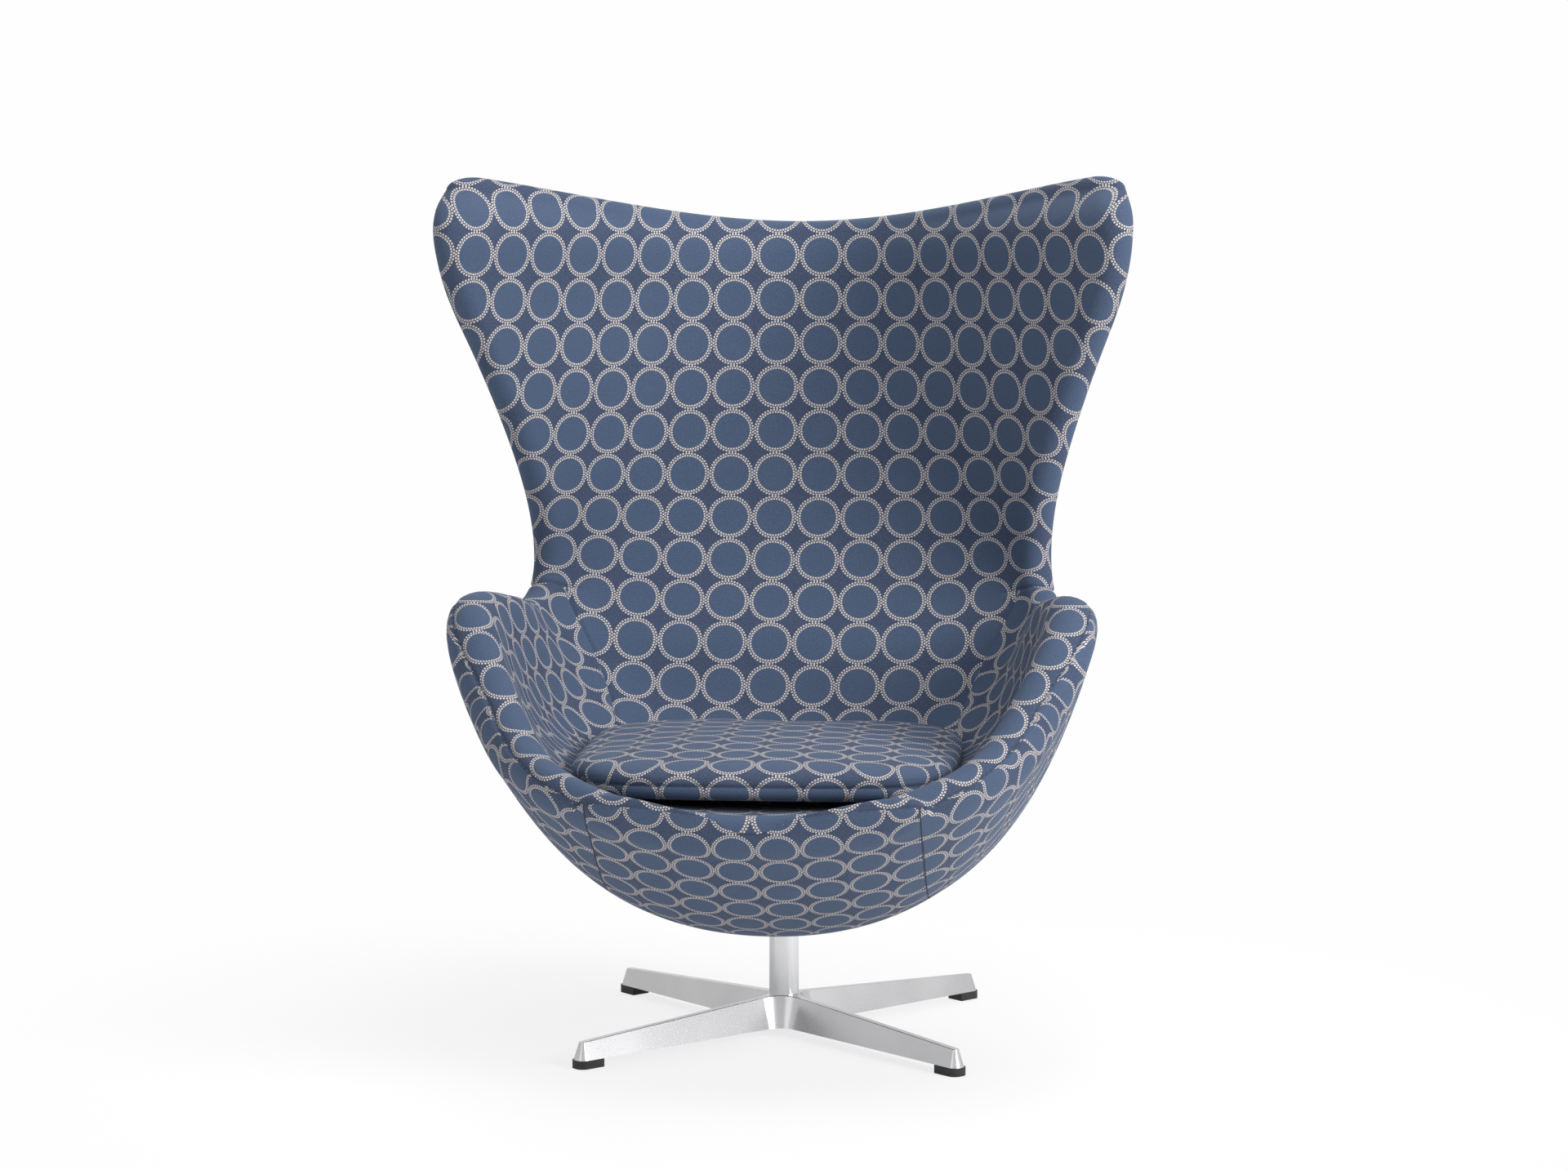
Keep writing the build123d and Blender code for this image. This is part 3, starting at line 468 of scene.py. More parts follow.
RIBS = np.array(
    [
        # crest and wings
        (284, 990, 388, 3, 1045, 38, 38, 19, 34, 0.38, 0.38, 0.50, 307, 0.25),
        (281, 969, 399, -41, 1013, 42, 42, 22, 30, 0.38, 0.38, 0.50, 292, 0.25),
        (278, 929, 400, -42, 954, 43, 46, 22, 22, 0.38, 0.38, 0.50, 290, 0.25),
        (272, 849, 372, 2, 860, 44, 46, 22, 22, 0.40, 0.40, 0.50, 284, 0.25),
        (260, 753, 336, 52, 753, 46, 46, 22, 22, 0.45, 0.45, 0.50, 278, 0.25),
        (247, 664, 313, 88, 660, 53, 46, 22, 22, 0.55, 0.55, 0.45, 272, 0.25),
        (236, 579, 307, 107, 591, 68, 46, 22, 22, 0.60, 0.60, 0.40, 278, 0.25),
        # arms and bowl
        (226, 490, 312, 101, 546, 92, 50, 22, 22, 0.60, 0.60, 0.40, 285, 0.25),
        (212, 380, 326, 56, 520, 136, 66, 23, 23, 0.60, 0.60, 0.50, 262, 0.25),
        (180, 262, 332, -16, 525, 168, 74, 26, 26, 0.61, 0.70, 0.55, 228, 0.30),
        (112, 175, 338, -100, 534, 196, 76, 29, 29, 0.67, 0.78, 0.57, 206, 0.45),
        (0, 138, 355, -178, 536, 212, 76, 31, 31, 0.69, 0.80, 0.57, 200, 0.60),
        (-110, 147, 344, -240, 494, 202, 74, 32, 32, 0.66, 0.80, 0.56, 196, 0.72),
        (-208, 161, 304, -295, 418, 178, 66, 32, 36, 0.63, 0.76, 0.55, 190, 1),
        # lip
        (-300, 206, 258, -348, 368, 135, 52, 31, 45, 0.60, 0.66, 0.55, 172, 1),
        (-365, 249, 196, -394, 342, 93, 34, 29, 60, 0.52, 0.58, 0.50, 138, 1),
        (-406, 283, 140, -420, 331, 58, 20, 26, 62, 0.50, 0.50, 0.50, 96, 1),
    ],
    float,
)
JOIN = 7  # the rib at which the back's panel meets those of the seat and the arms
LEAST_RIM_PART = 0.25
ROUND_OFF = np.radians((12, 24, 35, 45, 54, 62, 69, 75, 80, 84, 87, 89.5))
CREST_CORNER = 10  # how much narrower the shell gets as it rounds off at the crest, and at the lip
LIP_CORNER = 90
LIP_RISE = radians(20)
QUARTER = 0.5523  # handle of a Bezier curve that draws a quarter circle
DEEPEST = 0.6  # share of the roll's half thickness below which no path lies under the cloth
HALVINGS = 30
INSIDE, OUTSIDE = 0, 1


def run_along(line):
    """Length along a line of points, from its start to each of them."""
    return np.concatenate([[0], np.cumsum(np.linalg.norm(np.diff(line, axis=0), axis=1))])


RIB_PLACE = (run_along(RIBS[:, [BACK_Y, BACK_Z]]) + run_along(RIBS[:, [RIM_X, RIM_Y, RIM_Z]])) / 2


def spline(values, at):
    """A natural cubic through values at the ribs' places."""
    gaps = np.diff(RIB_PLACE)
    count = len(RIB_PLACE)
    slopes = np.diff(values, axis=0) / gaps[:, None]
    system = np.eye(count)
    bends = np.zeros_like(values)
    for i in range(1, count - 1):
        system[i, i - 1 : i + 2] = gaps[i - 1], 2 * (gaps[i - 1] + gaps[i]), gaps[i]
        bends[i] = 6 * (slopes[i] - slopes[i - 1])
    bends = np.linalg.solve(system, bends)
    i = np.clip(np.searchsorted(RIB_PLACE, at) - 1, 0, count - 2)
    gap = gaps[i][:, None]
    past = (at - RIB_PLACE[i])[:, None]
    left = gap - past
    return (
        (bends[i] * left**3 + bends[i + 1] * past**3) / (6 * gap)
        + (values[i] / gap - bends[i] * gap / 6) * left
        + (values[i + 1] / gap - bends[i + 1] * gap / 6) * past
    )


def bezier(curve, s):
    """Points at s, from 0 to 1, on cubic Bezier curves."""
    a, b, c, d = curve
    return a * (1 - s) ** 3 + 3 * b * (1 - s) ** 2 * s + 3 * c * (1 - s) * s**2 + d * s**3


def tilt_of(ribs):
    """How far each rib's plane is turned from upright to level."""
    return np.arctan2(ribs[..., RIM_Z] - ribs[..., BACK_Z], ribs[..., BACK_Y] - ribs[..., RIM_Y])


class Rows:
    """Ribs close together at some places, with the shell's rounded ends where they belong."""

    def __init__(self, at, crest_end=False, lip_end=False):
        self.ribs = spline(RIBS, at)
        self.ribs[:, RIM_PART] = np.clip(self.ribs[:, RIM_PART], LEAST_RIM_PART, 1)
        self.shrink = np.ones(len(at))
        if crest_end:
            tilt = tilt_of(RIBS[0])
            self.round_off(0, (sin(tilt), cos(tilt)), CREST_CORNER)
        if lip_end:
            self.round_off(-1, (-cos(LIP_RISE), sin(LIP_RISE)), LIP_CORNER)

    def round_off(self, end, direction, corner):
        """Adds ever thinner ribs past the first or the last, so that the padding ends in a half round."""
        angles = ROUND_OFF[::-1] if end == 0 else ROUND_OFF
        last = self.ribs[end]
        past = last[PAD] / 2 * np.sin(angles)[:, None]
        added = np.tile(last, (len(angles), 1))
        added[:, [BACK_Y, RIM_Y]] += past * direction[0]
        added[:, [BACK_Z, RIM_Z]] += past * direction[1]
        added[:, RIM_X] -= corner * (1 - np.cos(angles))
        added[:, ARM_SEAM] *= added[:, RIM_X] / last[RIM_X]
        order = slice(None, None, -1) if end == 0 else slice(None)
        self.ribs = np.concatenate([self.ribs, added][order])
        self.shrink = np.concatenate([self.shrink, np.cos(angles)][order])

    def curves(self, depth=0.0):
        """Paths from the middle to the rim, inside and outside, depth millimetres under the cloth.

        A path is a list of Bezier curves in the rib's plane. The inside one goes on round the roll.
        """
        ribs = self.ribs
        depth = np.minimum(depth, DEEPEST * ribs[:, ROLL] * self.shrink)
        half = ribs[:, PAD] / 2 * self.shrink - depth
        roll = (ribs[:, ROLL] * self.shrink - depth)[:, None]
        nose = (ribs[:, NOSE] * self.shrink - depth)[:, None]
        low = ribs[:, PAD] / 2 - half
        high = ribs[:, PAD] / 2 + half
        reach = np.hypot(ribs[:, BACK_Y] - ribs[:, RIM_Y], ribs[:, RIM_Z] - ribs[:, BACK_Z])
        lean = np.radians(ribs[:, LEAN])
        along = np.column_stack([np.cos(lean), np.sin(lean)])
        across = np.column_stack([-np.sin(lean), np.cos(lean)])
        rim = np.column_stack([ribs[:, RIM_X], reach])
        outside = rim - across * roll
        inside = rim + across * roll
        tip = rim + along * nose
        middle = np.zeros(len(ribs))
        hold = ribs[:, [HOLD]]
        straight = np.maximum(reach - ribs[:, PAD] / 2, 1)[:, None]
        inner = [
            np.column_stack([middle, high]),
            np.column_stack([ribs[:, INNER_SPREAD] * ribs[:, RIM_X], high]),
            inside - along * hold * straight,
            inside,
        ]
        outer = [
            np.column_stack([middle, low]),
            np.column_stack([ribs[:, OUTER_SPREAD] * ribs[:, RIM_X], low]),
            outside - along * hold * reach[:, None],
            outside,
        ]
        nose_in = [inside, inside + along * nose * QUARTER, tip + across * roll * QUARTER, tip]
        nose_out = [outside, outside + along * nose * QUARTER, tip - across * roll * QUARTER, tip]
        return [inner, nose_in, nose_out[::-1]], [outer, nose_out]

    def points(self, path, t):
        """Points in space on a path, at t from 0 to 1 on its first curve, 1 to 2 on its second, and on."""
        flat = np.zeros((*t.shape, 2))
        for number, curve in enumerate(path):
            corners = [corner[:, None, :] for corner in curve]
            spot = bezier(corners, np.clip(t - number, 0, 1)[..., None])
            flat = np.where((t >= number)[..., None], spot, flat)
        tilt = tilt_of(self.ribs)[:, None]
        y = self.ribs[:, [BACK_Y]] - flat[..., 1] * np.cos(tilt)
        z = self.ribs[:, [BACK_Z]] + flat[..., 1] * np.sin(tilt)
        return np.stack([flat[..., 0], y, z], -1) / 1000 + np.array([0, COLUMN_BACK, 0])

    def crossing(self, path, x):
        """Where a path's first curve reaches x millimetres from the middle."""
        corners = [corner[:, 0] for corner in path[0]]
        low, high = np.zeros(len(x)), np.ones(len(x))
        for _ in range(HALVINGS):
            s = (low + high) / 2
            short = bezier(corners, s) < x
            low, high = np.where(short, s, low), np.where(short, high, s)
        return low


CELL = 0.0075  # between the points of the cloth's mesh
NEAR_SEAM = np.array([0, 0.8, 1.8, 3.0, 4.5, 6.5, 9.0]) / 1000  # and from a seam to those beside it
SEAM_ROOM = 2.5 * NEAR_SEAM[-1]  # on a shorter path the points by a seam draw closer together
SEAM_DEPTH = 2.6  # millimetres that a seam lies below the cloth
SEAM_WIDTH = 0.0032
JOIN_SEAM_START = 0.262  # from the middle to where the join of back and arms begins to dip
JOIN_SEAM_FADE = 0.02
PATH_SAMPLES = 500


def places(start, end, start_seam=False, end_seam=False):
    """Places along the shell from one to the other, in millimetres, packed close by a seam."""
    fine = NEAR_SEAM * 1000
    head = start + fine if start_seam else np.array([start])
    tail = (end - fine)[::-1] if end_seam else np.array([end])
    count = max(2, round((tail[0] - head[-1]) / (CELL * 1000)))
    return np.concatenate([head, np.linspace(head[-1], tail[0], count + 1)[1:-1], tail])


def strip(rows, path, start, end, start_seam=False, end_seam=False, seam_rows=()):
    """A sheet of points along a path of every row, evenly spread from start to end.

    The edges that are seams dip. Returns the points, and the same points further in.
    """
    outer = rows.curves()[path]
    deeper = rows.curves(SEAM_DEPTH)[path]
    sampled = start[:, None] + (end - start)[:, None] * np.linspace(0, 1, PATH_SAMPLES)
    spots = rows.points(outer, sampled)
    lengths = np.linalg.norm(np.diff(spots, axis=1), axis=2).cumsum(1)
    lengths = np.concatenate([np.zeros((len(sampled), 1)), lengths], 1)
    head = NEAR_SEAM if start_seam else NEAR_SEAM[:1]
    tail = NEAR_SEAM if end_seam else NEAR_SEAM[:1]
    count = round((lengths[:, -1].max() - head[-1] - tail[-1]) / CELL)
    even = np.linspace(0, 1, count + 1)[1:-1]
    t, across = [], []
    for length, samples in zip(lengths, sampled):
        room = min(1.0, length[-1] / SEAM_ROOM)
        first, last = head * room, length[-1] - tail[::-1] * room
        wanted = np.concatenate([first, first[-1] + (last[0] - first[-1]) * even, last])
        t.append(np.interp(wanted, length, samples))
        across.append(wanted)
    t, across = np.array(t), np.array(across)
    skin, below = rows.points(outer, t), rows.points(deeper, t)
    dip = np.zeros(across.shape)
    if start_seam:
        dip = np.maximum(dip, np.exp(-((across / SEAM_WIDTH) ** 2)))
    if end_seam:
        dip = np.maximum(dip, np.exp(-(((across - across[:, -1:]) / SEAM_WIDTH) ** 2)))
    for row in seam_rows:
        apart = np.linalg.norm(skin - skin[row][None], axis=2)
        beside = np.clip((skin[..., 0] - JOIN_SEAM_START) / JOIN_SEAM_FADE, 0, 1)
        dip = np.maximum(dip, np.exp(-((apart / SEAM_WIDTH) ** 2)) * beside)
    return skin + (below - skin) * dip[..., None], below


LEVEL_START = 0.45  # height at which the rings begin to turn level
LEVEL_FADE = 0.30


def laid_out(grid):
    """The cloth's measures over a sheet, in metres, laid square from its first column outwards.

    In the bowl the threads cross that column squarely, and up the back they come to run level.
    """
    spine = grid[:, 0]
    run = run_along(spine)
    direction = np.gradient(spine, run, axis=0)
    direction /= np.linalg.norm(direction, axis=1, keepdims=True)
    level = np.clip((spine[:, 2:] - LEVEL_START) / LEVEL_FADE, 0, 1)
    direction = direction * (1 - level) + np.array([0, 0, -1]) * level
    direction /= np.linalg.norm(direction, axis=1, keepdims=True)
    steps = np.diff(grid, axis=1)
    along = np.einsum("rci,ri->rc", steps, direction)
    outward = np.sqrt(np.maximum((steps**2).sum(-1) - along**2, 0))
    nothing = np.zeros((len(grid), 1))
    across = np.concatenate([nothing, np.cumsum(outward, axis=1)], 1)
    return across, run[:, None] + np.concatenate([nothing, np.cumsum(along, axis=1)], 1)


def cloth_piece(name, grid, below, across, down, finish, keep=None):
    """A mesh over a sheet of points that faces away from below, with the cloth's measures as its map."""
    rows, columns = grid.shape[:2]
    numbers = np.arange(rows * columns).reshape(rows, columns)
    faces = np.stack([numbers[:-1, :-1], numbers[:-1, 1:], numbers[1:, 1:], numbers[1:, :-1]], -1)
    faces = faces.reshape(-1, 4)
    points = grid.reshape(-1, 3)
    sides = points[faces[:, 1]] - points[faces[:, 0]], points[faces[:, 3]] - points[faces[:, 0]]
    outward = (points - below.reshape(-1, 3))[faces[:, 0]]
    if (np.cross(*sides) * outward).sum() < 0:
        faces = faces[:, ::-1]
    if keep is not None:
        faces = faces[keep(points[faces].mean(1))]
    piece = mesh_object(name, points.tolist(), faces.tolist(), finish)
    corners = np.zeros(len(piece.data.loops), int)
    piece.data.loops.foreach_get("vertex_index", corners)
    measures = np.stack([across, down], -1).reshape(-1, 2)
    layer = piece.data.uv_layers.new(name="cloth")
    layer.uv.foreach_set("vector", measures[corners].astype(np.float32).ravel())
    return piece


OTHER_SIDE = np.array([-1, 1, 1])


def mirrored(sheet, turn):
    """A half sheet grown to both sides of the middle, from left to right."""
    return np.concatenate([sheet[:, :0:-1] * turn, sheet], 1)


def whole_cloth(name, grid, below, across, down, finish, keep=None):
    """A piece of cloth that runs over the chair's middle, from its right half."""
    return cloth_piece(
        name,
        mirrored(grid, OTHER_SIDE),
        mirrored(below, OTHER_SIDE),
        mirrored(across, -1),
        mirrored(down, 1),
        finish,
        keep,
    )


STRETCHED_PITCH = 0.057  # from ring to ring on the back and the seat, where the cloth is drawn out
CLOSE_PITCH = 0.0505  # and on the outside and the cushion, where it isn't
FLECKS = 43  # in each of a ring's two rows
FLECK_ROWS = ((0.478, 0.0), (0.424, 0.5))  # a row's radius in pitches, and its shift in flecks
FLECK_EDGE = (0.028, 0.019)
DISC_EDGE = (0.445, 0.415)
YARN = 0.0021
DISC = (0.060, 0.093, 0.166)
BETWEEN_RINGS = (0.043, 0.061, 0.116)
PALE_SLUB = (0.125, 0.165, 0.245)
TWILL_SHADE = (0.025, 0.037, 0.066)
WORN = (0.095, 0.130, 0.195)
FLECK = (0.60, 0.55, 0.52)
SEAM_SHADE = (0.012, 0.018, 0.032)
MISMATCH = (0.021, 0.0, 0.0)  # how far a let-in panel's rings are off those beside it, in metres


def ring_cloth(name, pitch, shift, let_in=None):
    """Woven wool with the rings pitch metres apart, shifted along the cloth's map by shift pitches.

    For a panel that is let in, a function tells where the panel lies and where its seams run.
    """
    wool = Finish(name)
    spot = wool.add("UVMap", {"uv_map": "cloth"}, {})
    seam_line = 0.0
    if let_in:
        panel, seam_line = let_in(wool)
        inputs = {0: panel, 1: MISMATCH, 2: spot}
        spot = wool.add("VectorMath", {"operation": "MULTIPLY_ADD"}, inputs)
    lattice = wool.add("Mapping", {}, {0: spot, 1: (*shift, 0.0), 3: (1 / pitch, 1 / pitch, 1.0)})
    cell = wool.add("VectorMath", {"operation": "FRACTION"}, {0: lattice})
    cell = wool.add("VectorMath", {"operation": "SUBTRACT"}, {0: cell, 1: (0.5, 0.5, 0.0)})
    wander = wool.noise(spot, 0.004, detail=1) * 0.012 - 0.006
    radius = wool.add("VectorMath", {"operation": "LENGTH"}, {0: cell}, output="Value") + wander
    x, y, _ = wool.split(cell)
    turn = wool.math("ARCTAN2", y, x) * (FLECKS / (2 * pi))
    rows = []
    for distance, offset in FLECK_ROWS:
        inwards = abs(radius - distance)
        around = abs((turn + offset).fraction() - 0.5) * (2 * pi * distance / FLECKS)
        from_fleck = (inwards * inwards + around * around) ** 0.5
        rows.append(from_fleck.step(*FLECK_EDGE))
    flecks = rows[0].most(rows[1])
    u, v, _ = wool.split(spot)
    yarns = 2 * pi / YARN
    twill = ((u + v) * yarns).sine() * 0.5 + ((u - v * 0.5) * yarns).sine() * 0.5
    slub = wool.noise(spot, 0.0022)
    wear = wool.noise(spot, 0.05)
    colour = wool.blend(radius.step(*DISC_EDGE), BETWEEN_RINGS, DISC)
    colour = wool.blend(slub.step(0.35, 0.75) * 0.40, colour, PALE_SLUB)
    colour = wool.blend((twill * 0.5 + 0.5) * 0.28, colour, TWILL_SHADE)
    colour = wool.blend(wear.step(0.45, 0.8) * 0.15, colour, WORN)
    colour = wool.blend(flecks * (0.72 + slub * 0.4), colour, FLECK)
    colour = wool.blend(seam_line * 0.8, colour, SEAM_SHADE)
    wool.surface(
        Base_Color=colour,
        Roughness=0.80 + slub * 0.14,
        Specular_IOR_Level=0.25,
        Sheen_Weight=0.10,
        Sheen_Roughness=0.45,
        Sheen_Tint=(0.75, 0.80, 0.90),
    )
    wool.bump(twill * 0.25 + slub * 0.5 + flecks * 0.9 - seam_line * 2.5, 0.0006, 0.7)
    return wool


upper = Rows(places(0, RIB_PLACE[JOIN], end_seam=True), crest_end=True)
middle = np.zeros(len(upper.ribs))
rim = 3 - upper.ribs[:, RIM_PART]
grid, below = strip(upper, INSIDE, middle, rim, end_seam=True, seam_rows=(-1,))
across, down = laid_out(grid)
back_length = down[-1, 0]
inside_cloth = ring_cloth("ring_cloth_back", STRETCHED_PITCH, (0.0, 0.46))
back = whole_cloth("back_cloth", grid, below, across, down, inside_cloth)
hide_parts("back_panel", "foam_padding")
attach(back, "shell")


# ---------------------------------------------------------------- cloth of the seat
# The same woven wool over the foam, under and behind the cushion and out over the lip. It is sewn to the
# arms' panels on both sides, and its rings run on from those of the back.
lower = Rows(places(RIB_PLACE[JOIN], RIB_PLACE[-1], start_seam=True), lip_end=True)
middle = np.zeros(len(lower.ribs))
arm_seam = lower.crossing(lower.curves()[INSIDE], lower.ribs[:, ARM_SEAM])
grid, below = strip(lower, INSIDE, middle, arm_seam, end_seam=True, seam_rows=(0,))
across, down = laid_out(grid)
seat = whole_cloth("seat_cloth", grid, below, across, back_length + down, inside_cloth)
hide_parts("seat_panel")
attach(seat, "shell")


# ---------------------------------------------------------------- cloth of the arms
# One panel of the wool to each arm, from the seam inside the seat up over the edge roll to the rim seam,
# with the rings laid out from the rim.
ARM_PITCH = 0.054

rim = 3 - lower.ribs[:, RIM_PART]
grid, below = strip(lower, INSIDE, arm_seam, rim, start_seam=True, end_seam=True, seam_rows=(0,))
across, down = laid_out(grid[:, ::-1])
arm_cloth = ring_cloth("ring_cloth_arm", ARM_PITCH, (0.0, 0.0))
arms = []
for side, name in ((1, "right"), (-1, "left")):
    turn = np.array([side, 1, 1])
    measures = across[:, ::-1] * side, down[:, ::-1]
    arm = cloth_piece("arm_cloth_" + name, grid * turn, below * turn, *measures, arm_cloth)
    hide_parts("arm_panel_" + name)
    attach(arm, "shell")
    arms.append(arm)


# ---------------------------------------------------------------- cloth of the outside
# Woven wool over the outside of the back and bowl, sewn to the inside panels at the rim seam. The apron
# panel is let in under the lip, and an opening is cut round the column and its collar.
SLOT_FRONT = COLUMN_BACK  # ends of the opening's middle line
SLOT_REAR = COLUMN_BACK + 0.020
SLOT_HALF_WIDTH = 0.0268
SLOT_BELOW = 0.2  # the opening lies below this height
SLOT_NEAR = 0.55 * CELL  # points this near its outline are moved onto it
APRON_HALF_WIDTH = 0.190
APRON_REAR = COLUMN_BACK - 0.060
APRON_TOP = (0.430, 0.420)  # heights between which the apron comes in, up on the lip
CUT_EDGE = (0.0002, -0.0002)  # distances past the panel's edge between which it comes in
SEAM_END = (0.0005, -0.0005)  # and its seam
SEAM_EDGE = (0.0014, 0.0005)  # distances from the seam's middle line between which it comes in


def apron(wool):
    """Where the apron panel lies, and where its seams run."""
    x, y, z = wool.split(wool.place())
    beside = abs(x) - APRON_HALF_WIDTH
    behind = y - APRON_REAR
    low = z.step(*APRON_TOP)
    panel = beside.step(*CUT_EDGE) * behind.step(*CUT_EDGE) * low
    sides = abs(beside).step(*SEAM_EDGE) * behind.step(*SEAM_END)
    rear = abs(behind).step(*SEAM_EDGE) * beside.step(*SEAM_END)
    return panel, sides.most(rear) * low


def from_slot_line(points):
    """Way in plan to each point from the nearest one on the opening's middle line."""
    nearest = np.clip(points[..., 1], SLOT_FRONT, SLOT_REAR)
    return np.stack([points[..., 0], points[..., 1] - nearest], -1)


def beside_slot(points):
    """Distance in plan from the opening's outline, negative inside it."""
    return np.linalg.norm(from_slot_line(points), axis=-1) - SLOT_HALF_WIDTH


def fitted_to_slot(grid):
    """The sheet with the points nearest the opening moved onto its outline."""
    near = (np.abs(beside_slot(grid)) < SLOT_NEAR) & (grid[..., 2] < SLOT_BELOW)
    way = from_slot_line(grid)
    length = np.linalg.norm(way, axis=-1, keepdims=True).clip(1e-6)  # so that it can be divided by
    on_outline = grid[..., :2] + way * (SLOT_HALF_WIDTH / length - 1)
    moved = grid.copy()
    moved[..., :2] = np.where(near[..., None], on_outline, grid[..., :2])
    return moved


def clear_of_slot(points):
    """True for the points outside the opening."""
    return (beside_slot(points) > 0) | (points[:, 2] > SLOT_BELOW)


whole = Rows(places(0, RIB_PLACE[-1]), crest_end=True, lip_end=True)
middle = np.zeros(len(whole.ribs))
rim = 1 + whole.ribs[:, RIM_PART]
grid, below = strip(whole, OUTSIDE, middle, rim, end_seam=True)
across, down = laid_out(grid)
from_lip = down - down[-1, 0]
outside_cloth = ring_cloth("ring_cloth_outside", CLOSE_PITCH, (0.5, 0.0), let_in=apron)
outside = whole_cloth(
    "outside_cloth", fitted_to_slot(grid), below, across, from_lip, outside_cloth, clear_of_slot
)
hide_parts("outer_panel", "apron_panel")
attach(outside, "shell")


# ---------------------------------------------------------------- hand stitches of the rim
# The rim seam is closed by hand with short stitches in a dark thread of two plies, which sink into the
# seam.
STITCH = 0.0052
STITCH_STEP = 0.0078
STITCH_SINK = 1.3  # millimetres below the cloth
THREAD_RADIUS = 0.00045
THREAD_SIDES = 6
STITCH_RINGS = ((0.0, 0.35), (0.18, 1.0), (0.82, 1.0), (1.0, 0.35))  # share of its length, and thickness

thread = Finish("dark_thread")
ply = thread.noise(thread.place(), 0.0008, detail=2)
thread.surface(
    Base_Color=thread.blend(ply, (0.030, 0.040, 0.068), (0.060, 0.078, 0.120)),
    Roughness=0.7 + ply * 0.2,
)


def stitches(name, lines):
    """Short round stitches along lines of points, as one mesh."""
    points, faces = [], []
    for line in lines:
        run = run_along(line)
        for start in np.arange(0, run[-1] - STITCH, STITCH_STEP):
            begin, end = (
                Vector(np.interp(place, run, line[:, axis]) for axis in range(3))
                for place in (start, start + STITCH)
            )
            turn = (end - begin).normalized().to_track_quat("Z", "Y").to_matrix()
            faces += tube_faces(len(points), len(STITCH_RINGS), THREAD_SIDES)
            for share, thickness in STITCH_RINGS:
                for k in range(THREAD_SIDES):
                    angle = 2 * pi * k / THREAD_SIDES
                    offset = turn @ Vector((cos(angle), sin(angle), 0)) * THREAD_RADIUS * thickness
                    points.append(tuple(begin + (end - begin) * share + offset))
    piece = mesh_object(name, points, faces, thread)
    return piece


sunk = whole.points(whole.curves(STITCH_SINK)[OUTSIDE], rim[:, None])[:, 0]
sunk = sunk[len(ROUND_OFF) // 2 : -len(ROUND_OFF) // 2]
rim_stitches = stitches("rim_stitches", [sunk, sunk * OTHER_SIDE])
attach(rim_stitches, "shell")


# ---------------------------------------------------------------- seat cushion
# A loose slab of foam in a sewn cover of the same wool, crowned on top, with a stitched seam round the
# middle of its edge and an underside cut to lie in the seat. It lies in the shell and isn't fixed.
CUSHION_FRONT = COLUMN_BACK - 0.404
CUSHION_REAR = COLUMN_BACK + 0.040
CUSHION_FRONT_HALF = 0.2240
CUSHION_REAR_HALF = 0.2290
CUSHION_SQUARENESS = 4.6
CUSHION_COLUMNS = 240
CUSHION_ROW = 0.007  # at most this far from one ring of points to the next
CUSHION_SEAM_HEIGHT = 0.368
# how far in from the outline, and how high, round the edge from the top's middle to the underside
CUSHION_PROFILE = np.array(
    [
        (0.222, 0.4000),
        (0.160, 0.3990),
        (0.110, 0.3972),
        (0.070, 0.3950),
        (0.040, 0.3926),
        (0.022, 0.3900),
        (0.010, 0.3866),
        (0.0035, 0.3825),
        (0.0005, 0.3775),
        (0.0008, 0.3720),
        (0.0018, 0.3697),
        (0.0040, 0.3680),
        (0.0022, 0.3664),
        (0.0018, 0.3635),
        (0.0024, 0.3600),
        (0.0048, 0.3560),
        (0.0110, 0.3520),
        (0.0280, 0.3485),
        (0.0680, 0.3440),
        (0.1200, 0.3436),
        (0.2220, 0.3436),
    ]
)
TOP_POINTS = 4  # of them, how many lie on the top, where the rings aren't bent over the edge
EDGE_BAND = 0.012  # near the edge a ring of points keeps its distance from the outline
BAND_FADE = 0.05  # and further in it shrinks towards the middle
FITTED_HEIGHTS = (0.345, 0.399)
CUSHION_ROOM = 0.0015  # left between the cushion and the shell's cloth
WALL_REACH = 0.4  # how far from its middle the shell's cloth is looked for
WAVE = 0.0011  # unevenness of the top
WAVE_HEIGHT = 0.385  # above this height
WAVE_TURNS = (31, 27)  # radians to the metre across the chair and front to back
WAVE_STARTS = (1, 2)

centre_y = (CUSHION_FRONT + CUSHION_REAR) / 2
half_length = (CUSHION_REAR - CUSHION_FRONT) / 2
angles = np.linspace(0, 2 * pi, CUSHION_COLUMNS, endpoint=False)
circle = np.column_stack([np.cos(angles), np.sin(angles)])
squared = np.sign(circle) * np.abs(circle) ** (2 / CUSHION_SQUARENESS)
rear_share = (squared[:, 1] + 1) / 2
half_widths = CUSHION_FRONT_HALF + (CUSHION_REAR_HALF - CUSHION_FRONT_HALF) * rear_share
outline = np.column_stack([squared[:, 0] * half_widths, centre_y + squared[:, 1] * half_length])
tangent = np.roll(outline, -1, 0) - np.roll(outline, 1, 0)
normal = np.column_stack([tangent[:, 1], -tangent[:, 0]])
normal /= np.linalg.norm(normal, axis=1, keepdims=True)
centre = np.array([0, centre_y])

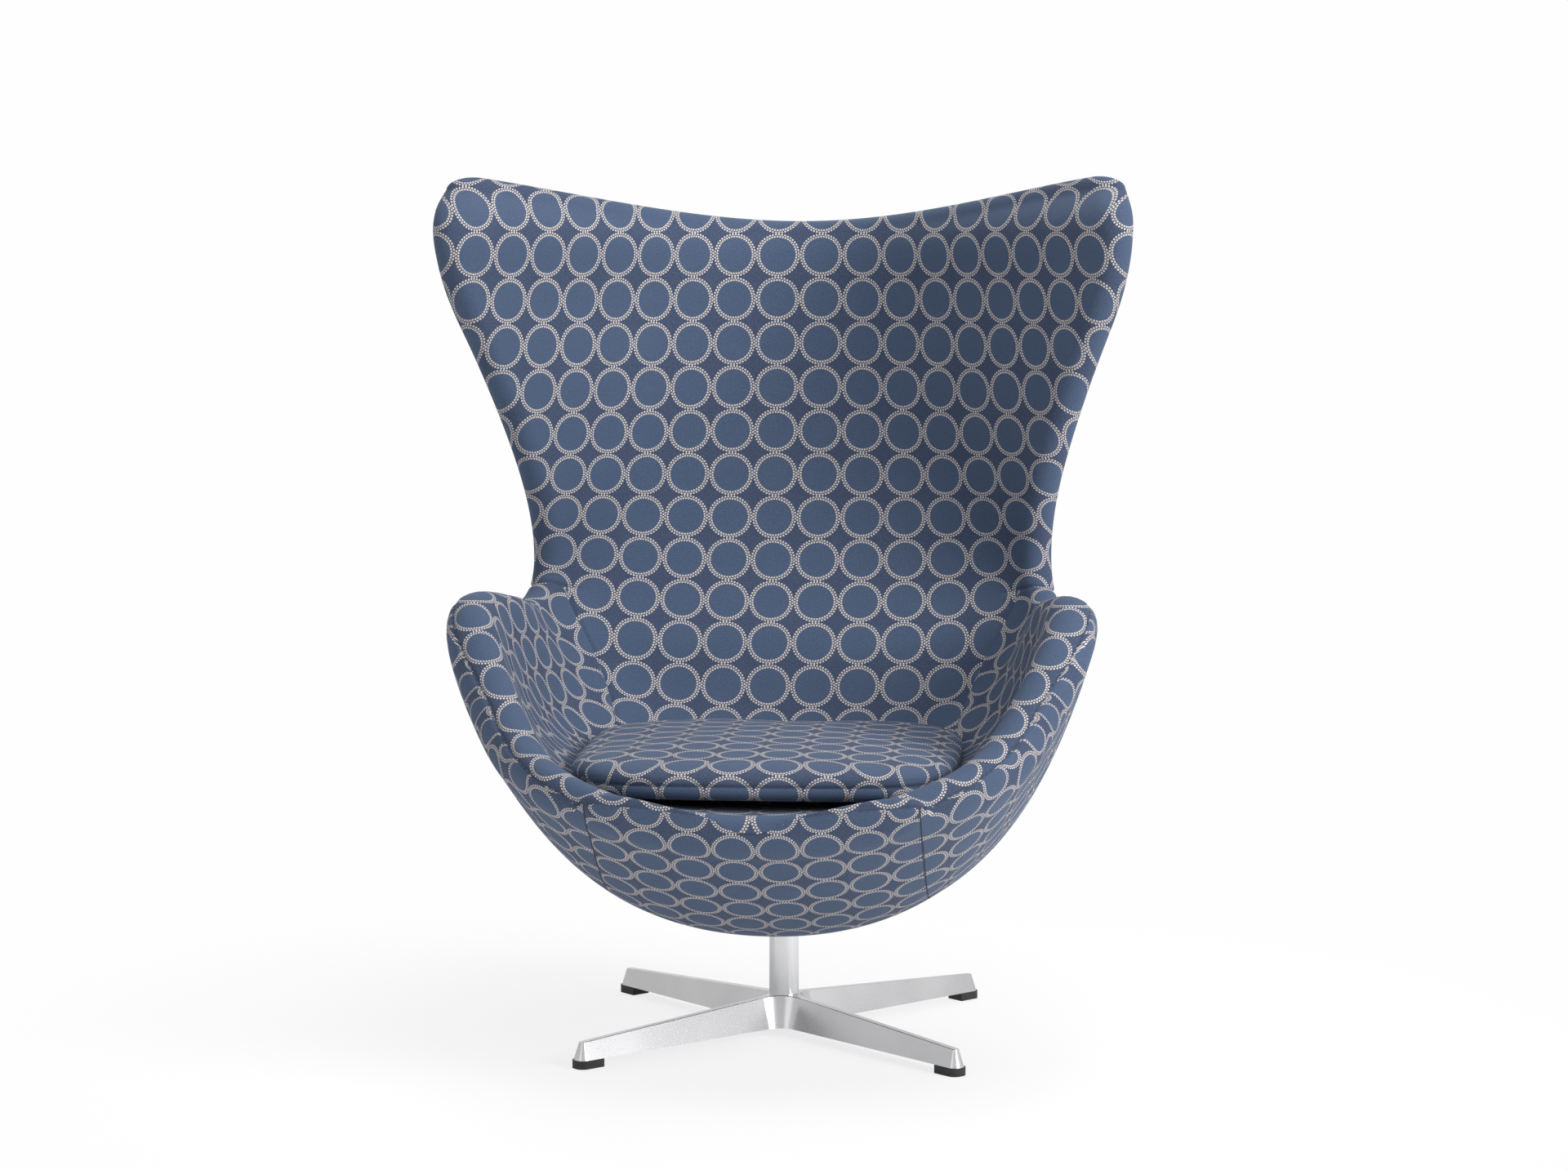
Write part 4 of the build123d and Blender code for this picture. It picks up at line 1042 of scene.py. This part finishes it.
profile_run = run_along(CUSHION_PROFILE)
top_end = profile_run[TOP_POINTS]
runs = np.unique(np.concatenate([profile_run, np.arange(0, profile_run[-1], CUSHION_ROW)]))
insets = np.interp(runs, profile_run, CUSHION_PROFILE[:, 0])
heights = np.interp(runs, profile_run, CUSHION_PROFILE[:, 1])

walls = []
for panel in (seat, back, *arms):
    corners = [vertex.co for vertex in panel.data.vertices]
    walls.append(BVHTree.FromPolygons(corners, [polygon.vertices for polygon in panel.data.polygons]))


def fitted(ring, height):
    """The ring of points at one height, held just clear of the arms and the back."""
    held = []
    start = Vector((0, centre_y, height))
    for x, y in ring:
        way = Vector((x, y - centre_y, 0))
        hits = (wall.ray_cast(start, way.normalized(), WALL_REACH) for wall in walls)
        room = min((hit[3] for hit in hits if hit[0]), default=1) - CUSHION_ROOM
        held.append(way.normalized() * min(way.length, room) + start)
    return np.array(held)[:, :2]


grid, measures = [], []
for inset, height, run in zip(insets, heights, runs):
    shrunk = centre + (outline - centre) * (1 - inset / insets[0])
    level_inset = outline - normal * inset
    mix = np.clip((inset - EDGE_BAND) / BAND_FADE, 0, 1)
    ring = shrunk * mix + level_inset * (1 - mix)
    if FITTED_HEIGHTS[0] < height < FITTED_HEIGHTS[1]:
        ring = fitted(ring, height)
    wave = WAVE * np.sin(ring * WAVE_TURNS + WAVE_STARTS).prod(1) * (height > WAVE_HEIGHT)
    grid.append(np.column_stack([ring, height + wave]))
    if run <= top_end:
        top_edge = ring
    measures.append(top_edge + normal * max(run - top_end, 0))
grid, measures = np.array(grid), np.array(measures)
grid = np.concatenate([grid, grid[:, :1]], 1)
measures = np.concatenate([measures, measures[:, :1]], 1)
core = np.tile([0, centre_y, CUSHION_SEAM_HEIGHT], (*grid.shape[:2], 1))
cushion_cloth = ring_cloth("ring_cloth_cushion", CLOSE_PITCH, (0.0, 0.35))
cushion = cloth_piece("seat_cushion", grid, core, measures[..., 0], measures[..., 1], cushion_cloth)
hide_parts("cushion_top_cover", "cushion_base_cover", "cushion_core")
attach(cushion, "cushion")

seam_row = np.abs(heights - CUSHION_SEAM_HEIGHT).argmin()
cushion_stitches = stitches("cushion_stitches", [grid[seam_row]])
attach(cushion_stitches, "cushion")
